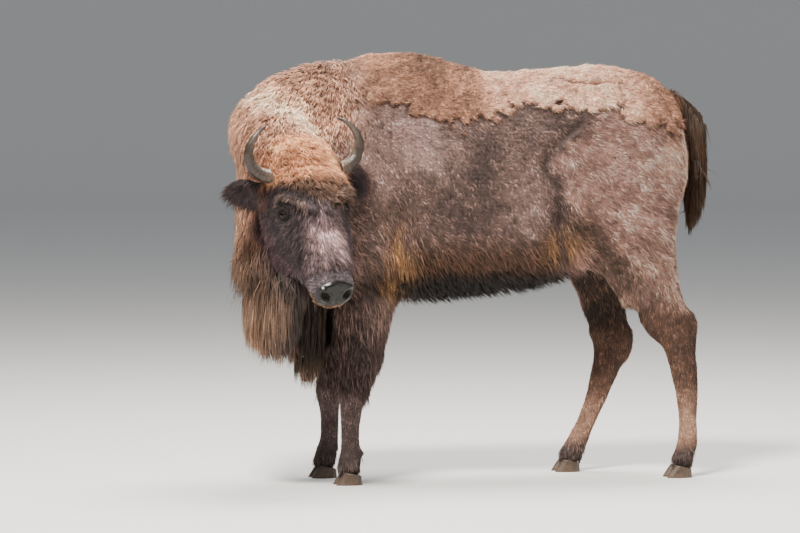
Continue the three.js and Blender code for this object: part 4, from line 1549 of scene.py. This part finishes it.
SIDE = dict(rings=1, lift=0.36, stray=0.26, clump=(0.015, 0.9), tint=0.62, root=0.26, tip=1.7)
WOOL = dict(rings=1, lift=0.42, stray=0.42, clump=(0.014, 0.7), tint=0.32, tip=1.35)
NECK = dict(lift=0.70, wave=0.30, stray=0.28, clump=(0.024, 0.9), hang=0.15, tint=0.38, root=0.34)
LONG = dict(rings=3, lift=0.16, wave=0.08, stray=0.08, clump=(0.026, 0.7), hang=0.7, taper=0.85, tint=0.42)
FACE = dict(rings=1, lift=0.34, stray=0.12, clump=(0.014, 0.9), tint=0.44, root=0.18, tip=1.95)
BRIDGE = dict(lift=0.45, stray=0.18, clump=(0.020, 1.0), tint=0.50, root=0.16, tip=1.9)
FOREHEAD = dict(lift=0.85, wave=0.40, stray=0.30, clump=(0.022, 0.9), tint=0.34, root=0.30)
EAR = dict(lift=0.50, wave=0.25, stray=0.28, clump=(0.014, 0.6), hang=0.45)
SHORT = dict(rings=1, lift=0.30, stray=0.16, clump=(0.012, 0.7), tint=0.46, root=0.32, tip=1.55)
CHAPS = dict(lift=0.35, clump=(0.020, 0.7), hang=0.4, tint=0.36)
FRINGE = dict(lift=0.30, stray=0.12, clump=(0.012, 0.6), hang=0.5)
BELLY = dict(lift=0.30, stray=0.16, clump=(0.022, 0.7), hang=0.45, tip=1.15)
TAIL = dict(rings=3, lift=0.13, wave=0.06, stray=0.05, clump=(0.022, 0.6), hang=0.6, taper=0.8)
SWITCH = dict(TAIL, free=0.03)

GROWTHS = [
    Growth("side", "coat", short_coat, 82000, short_length, 0.0035, **SIDE),
    Growth("back", "coat", loose_wool, 34000, 0.022, 0.0044, **WOOL),
    Growth("neck", "mane", neck_hair, 21000, neck_length, 0.0044, **NECK),
    Growth("throat", "mane", jaw_hair, 4000, 0.12, 0.0056, **LONG),
    Growth("beard", "mane", not_on_top, 7000, 0.15, 0.0052, along=REGIONS["mane"], **LONG),
    Growth("chest", "mane", not_on_top, 2600, 0.13, 0.0066, along=REGIONS["chest"], **LONG),
    Growth("face", "head_coat", face, 38000, face_length, face_width, **FACE),
    Growth("bridge", "head_coat", bridge, 5000, 0.044, 0.0035, **BRIDGE),
    Growth("forehead", "head_coat", forehead, 7000, forehead_length, 0.0040, **FOREHEAD),
    Growth("ears", "head_coat", ears, 5000, ear_length, 0.0020, **EAR),
    Growth("legs", "leg_coat", low_legs, 24000, leg_length, 0.0034, **SHORT),
    Growth("fringe", "leg_coat", above_hooves, 1600, 0.034, 0.0034, **FRINGE),
    Growth("chaps", "leg_coat", chaps, 4000, 0.055, 0.0054, **CHAPS),
    Growth("belly", "coat", belly, 6500, 0.055, 0.0050, **BELLY),
    Growth("dock", "tail_hair", tail_root, 1000, 0.08, 0.0050, **TAIL),
    Growth("tail", "tail_hair", not_on_top, 2800, 0.12, 0.0050, along=REGIONS["tail"], **SWITCH),
]


# ------------------------------------------------------------------ eyes, horns and hooves


def fine_copy(node, voxel, rounds):
    """A smooth closed mesh in the place of a faceted CAD node."""
    made = mesh_object(node + "_fine", *welded_solids([node]))
    voxel_remesh(made, voxel)
    edges, points = edges_of(made.data), coordinates(made.data)
    for _ in range(rounds):
        points = smoothed(points, edges, 1, 0.6)
        points = smoothed(points, edges, 1, -0.58)
    shade_smooth(made.data)
    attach(made, "root")
    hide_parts(node)
    return made, settled({"triangles": triangles_of(made.data), "edges": edges}, points)


HORN_MIDDLE = (0.115, 0.015)  # the middle of the horns' bend: aside, and along towards the poll
HORN_TURN = (-1.95, 1.55)  # the angles about it at a horn's base and tip
HORN_RINGS = 26.0


def add_horn(side):
    """A dark horn with rings near its base, fine grooves along it and a black tip."""
    made, body = fine_copy("horn_" + side, 0.0030, 12)
    points = body["points"]
    along, aside, out = body["head"].T
    aside = np.abs(aside)
    up, across = -along - HORN_MIDDLE[1], aside - HORN_MIDDLE[0]
    t = np.clip((np.arctan2(up, across) - HORN_TURN[0]) / (HORN_TURN[1] - HORN_TURN[0]), 0.0, 1.0)
    grain = noise(np.stack([120.0 * t, out / 0.012, aside / 0.02], axis=1), 1.0, 81)
    turns = HORN_RINGS * t + 0.5 * noise(points, 0.03, 82)
    rings = np.sin(2.0 * math.pi * turns) * ramp(t, 0.55, 0.1)
    scales = noise(points, 0.008, 83)
    relief = 0.0006 * rings + 0.0004 * scales * ramp(t, 0.6, 0.0) + 0.0002 * grain
    store_points(made, points + relief[:, None] * body["normal"])
    # a painted highlight along the inner curve of each horn
    inner = ramp(np.hypot(up, across), 0.100, 0.070) * ramp(t, 0.95, 0.6)
    colour = painted(
        COLOURS["horn_base"],
        ("horn", ramp(t, 0.10, 0.32)),
        ("horn_tip", ramp(t, 0.62, 0.95)),
        ("horn_highlight", 0.38 * inner),
    )
    streak = 1.0 + 0.35 * grain + 0.16 * scales + 0.14 * rings
    store_colour(made, colour * streak[:, None])
    made.data.materials.append(MATERIALS["horn"])


HOOF_RING = 0.0065  # the height of one growth ring


def add_hoof(node):
    """A hoof's claw with growth rings that follow its top, dusty towards the ground."""
    made, body = fine_copy(node, 0.0028, 6)
    x, _, z = body["points"].T
    level = z + 0.25 * (x - x.mean())
    rings = np.sin(2.0 * math.pi * level / HOOF_RING + 1.5 * noise(body["points"], 0.03, 84))
    rings = rings * ramp(z, 0.004, 0.010)
    moved = body["points"] + (0.0005 * rings)[:, None] * body["normal"]
    moved[:, 2] = np.maximum(np.where(z < 0.003, z, moved[:, 2]), 0.0)
    store_points(made, moved)
    worn = 1.0 + 0.22 * rings + 0.3 * noise(body["points"], 0.012, 85) + 0.5 * ramp(z, 0.030, 0.0)
    store_colour(made, COLOURS["hoof"] * worn[:, None])
    made.data.materials.append(MATERIALS["horn"])


PUPIL = (0.0078, 0.0042)  # half the width and half the height of the lying pupil
IRIS = 0.0142
CORNEA_RISE = 0.0016


def add_eye(side):
    """A dark eyeball with a lying pupil under a wet raised cornea.

    On her right the eye's axes are left-handed, so that ball's faces turn inwards.
    """
    mesh = bpy.data.meshes.new("eye_%s_ball" % side)
    with edited(mesh) as grid:
        bmesh.ops.create_uvsphere(grid, u_segments=96, v_segments=64, radius=1.0)
    made = add_object("eye_%s_ball" % side, mesh)
    across, height, depth = coordinates(mesh).T
    along, up, gaze = eye_axes(side)
    off_axis = np.arccos(np.clip(depth, -1.0, 1.0))
    radius = EYE_RADIUS - 0.0004 + CORNEA_RISE * ramp(off_axis, 0.72, 0.35)
    directions = across[:, None] * along + height[:, None] * up + depth[:, None] * gaze
    store_points(made, EYES[side] + from_head(directions * radius[:, None]))
    wide, tall = EYE_RADIUS * across, EYE_RADIUS * height
    pupil = np.hypot(wide / PUPIL[0], tall / PUPIL[1])
    from_middle = np.hypot(wide, tall)
    rays = np.stack([np.arctan2(tall, wide) * 14.0, from_middle * 90.0, 0.0 * wide], axis=1)
    colour = painted(
        COLOURS["iris"] * (1.0 + 0.45 * noise(rays, 1.0, 86))[:, None],
        ("iris_rim", ramp(from_middle, IRIS - 0.0035, IRIS)),
        ("eye_white", ramp(from_middle, IRIS, IRIS + 0.0015) + ramp(-depth, -0.2, 0.0)),
        ("pupil", ramp(pupil, 1.12, 0.95) * (depth > 0)),
    )
    store_colour(made, colour)
    shade_smooth(mesh)
    mesh.materials.append(MATERIALS["eye"])
    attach(made, "root")
    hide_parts("eye_" + side)


def add_animal():
    made, skin = grow_skin()
    skin["bare"] = bare_skin(skin)
    # a band just outside the loose wool, below its torn edge and along the rump's crack, where painted shadow
    # goes
    edge = smoothed(skin["wool"], skin["edges"], 8)
    skin["below_wool_shade"] = np.clip(4.0 * edge * (1.0 - edge), 0.0, 1.0) * (1.0 - skin["wool"])
    skin["colour"] = markings(skin)
    skin["lie"] = coat_lie(skin)
    unwrap(made, skin)
    # the skin is stored darker than the coat's colour: painted shade in the gaps between the locks
    store_colour(made, skin["colour"] * mix(0.38, 0.6, skin["wool"])[:, None])
    wet = skin["bare"] * ramp(nostril_distance(skin["head"]), 0.80, 1.15)
    layer = made.data.attributes.new("wet", "FLOAT", "POINT")
    layer.data.foreach_set("value", wet.astype(np.float32))
    made.data.materials.append(MATERIALS["skin"])
    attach(made, "root")
    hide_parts(*FLESH)
    random = np.random.default_rng(SEED)
    for growth in GROWTHS:
        grow(growth, skin, random)
    for side in EYES:
        add_eye(side)
        add_horn(side)
    for leg in LEGS:
        for claw in ("inner", "outer"):
            add_hoof("%s_claw_%s" % (leg, claw))


add_camera()
add_lights()
add_floor()
add_animal()
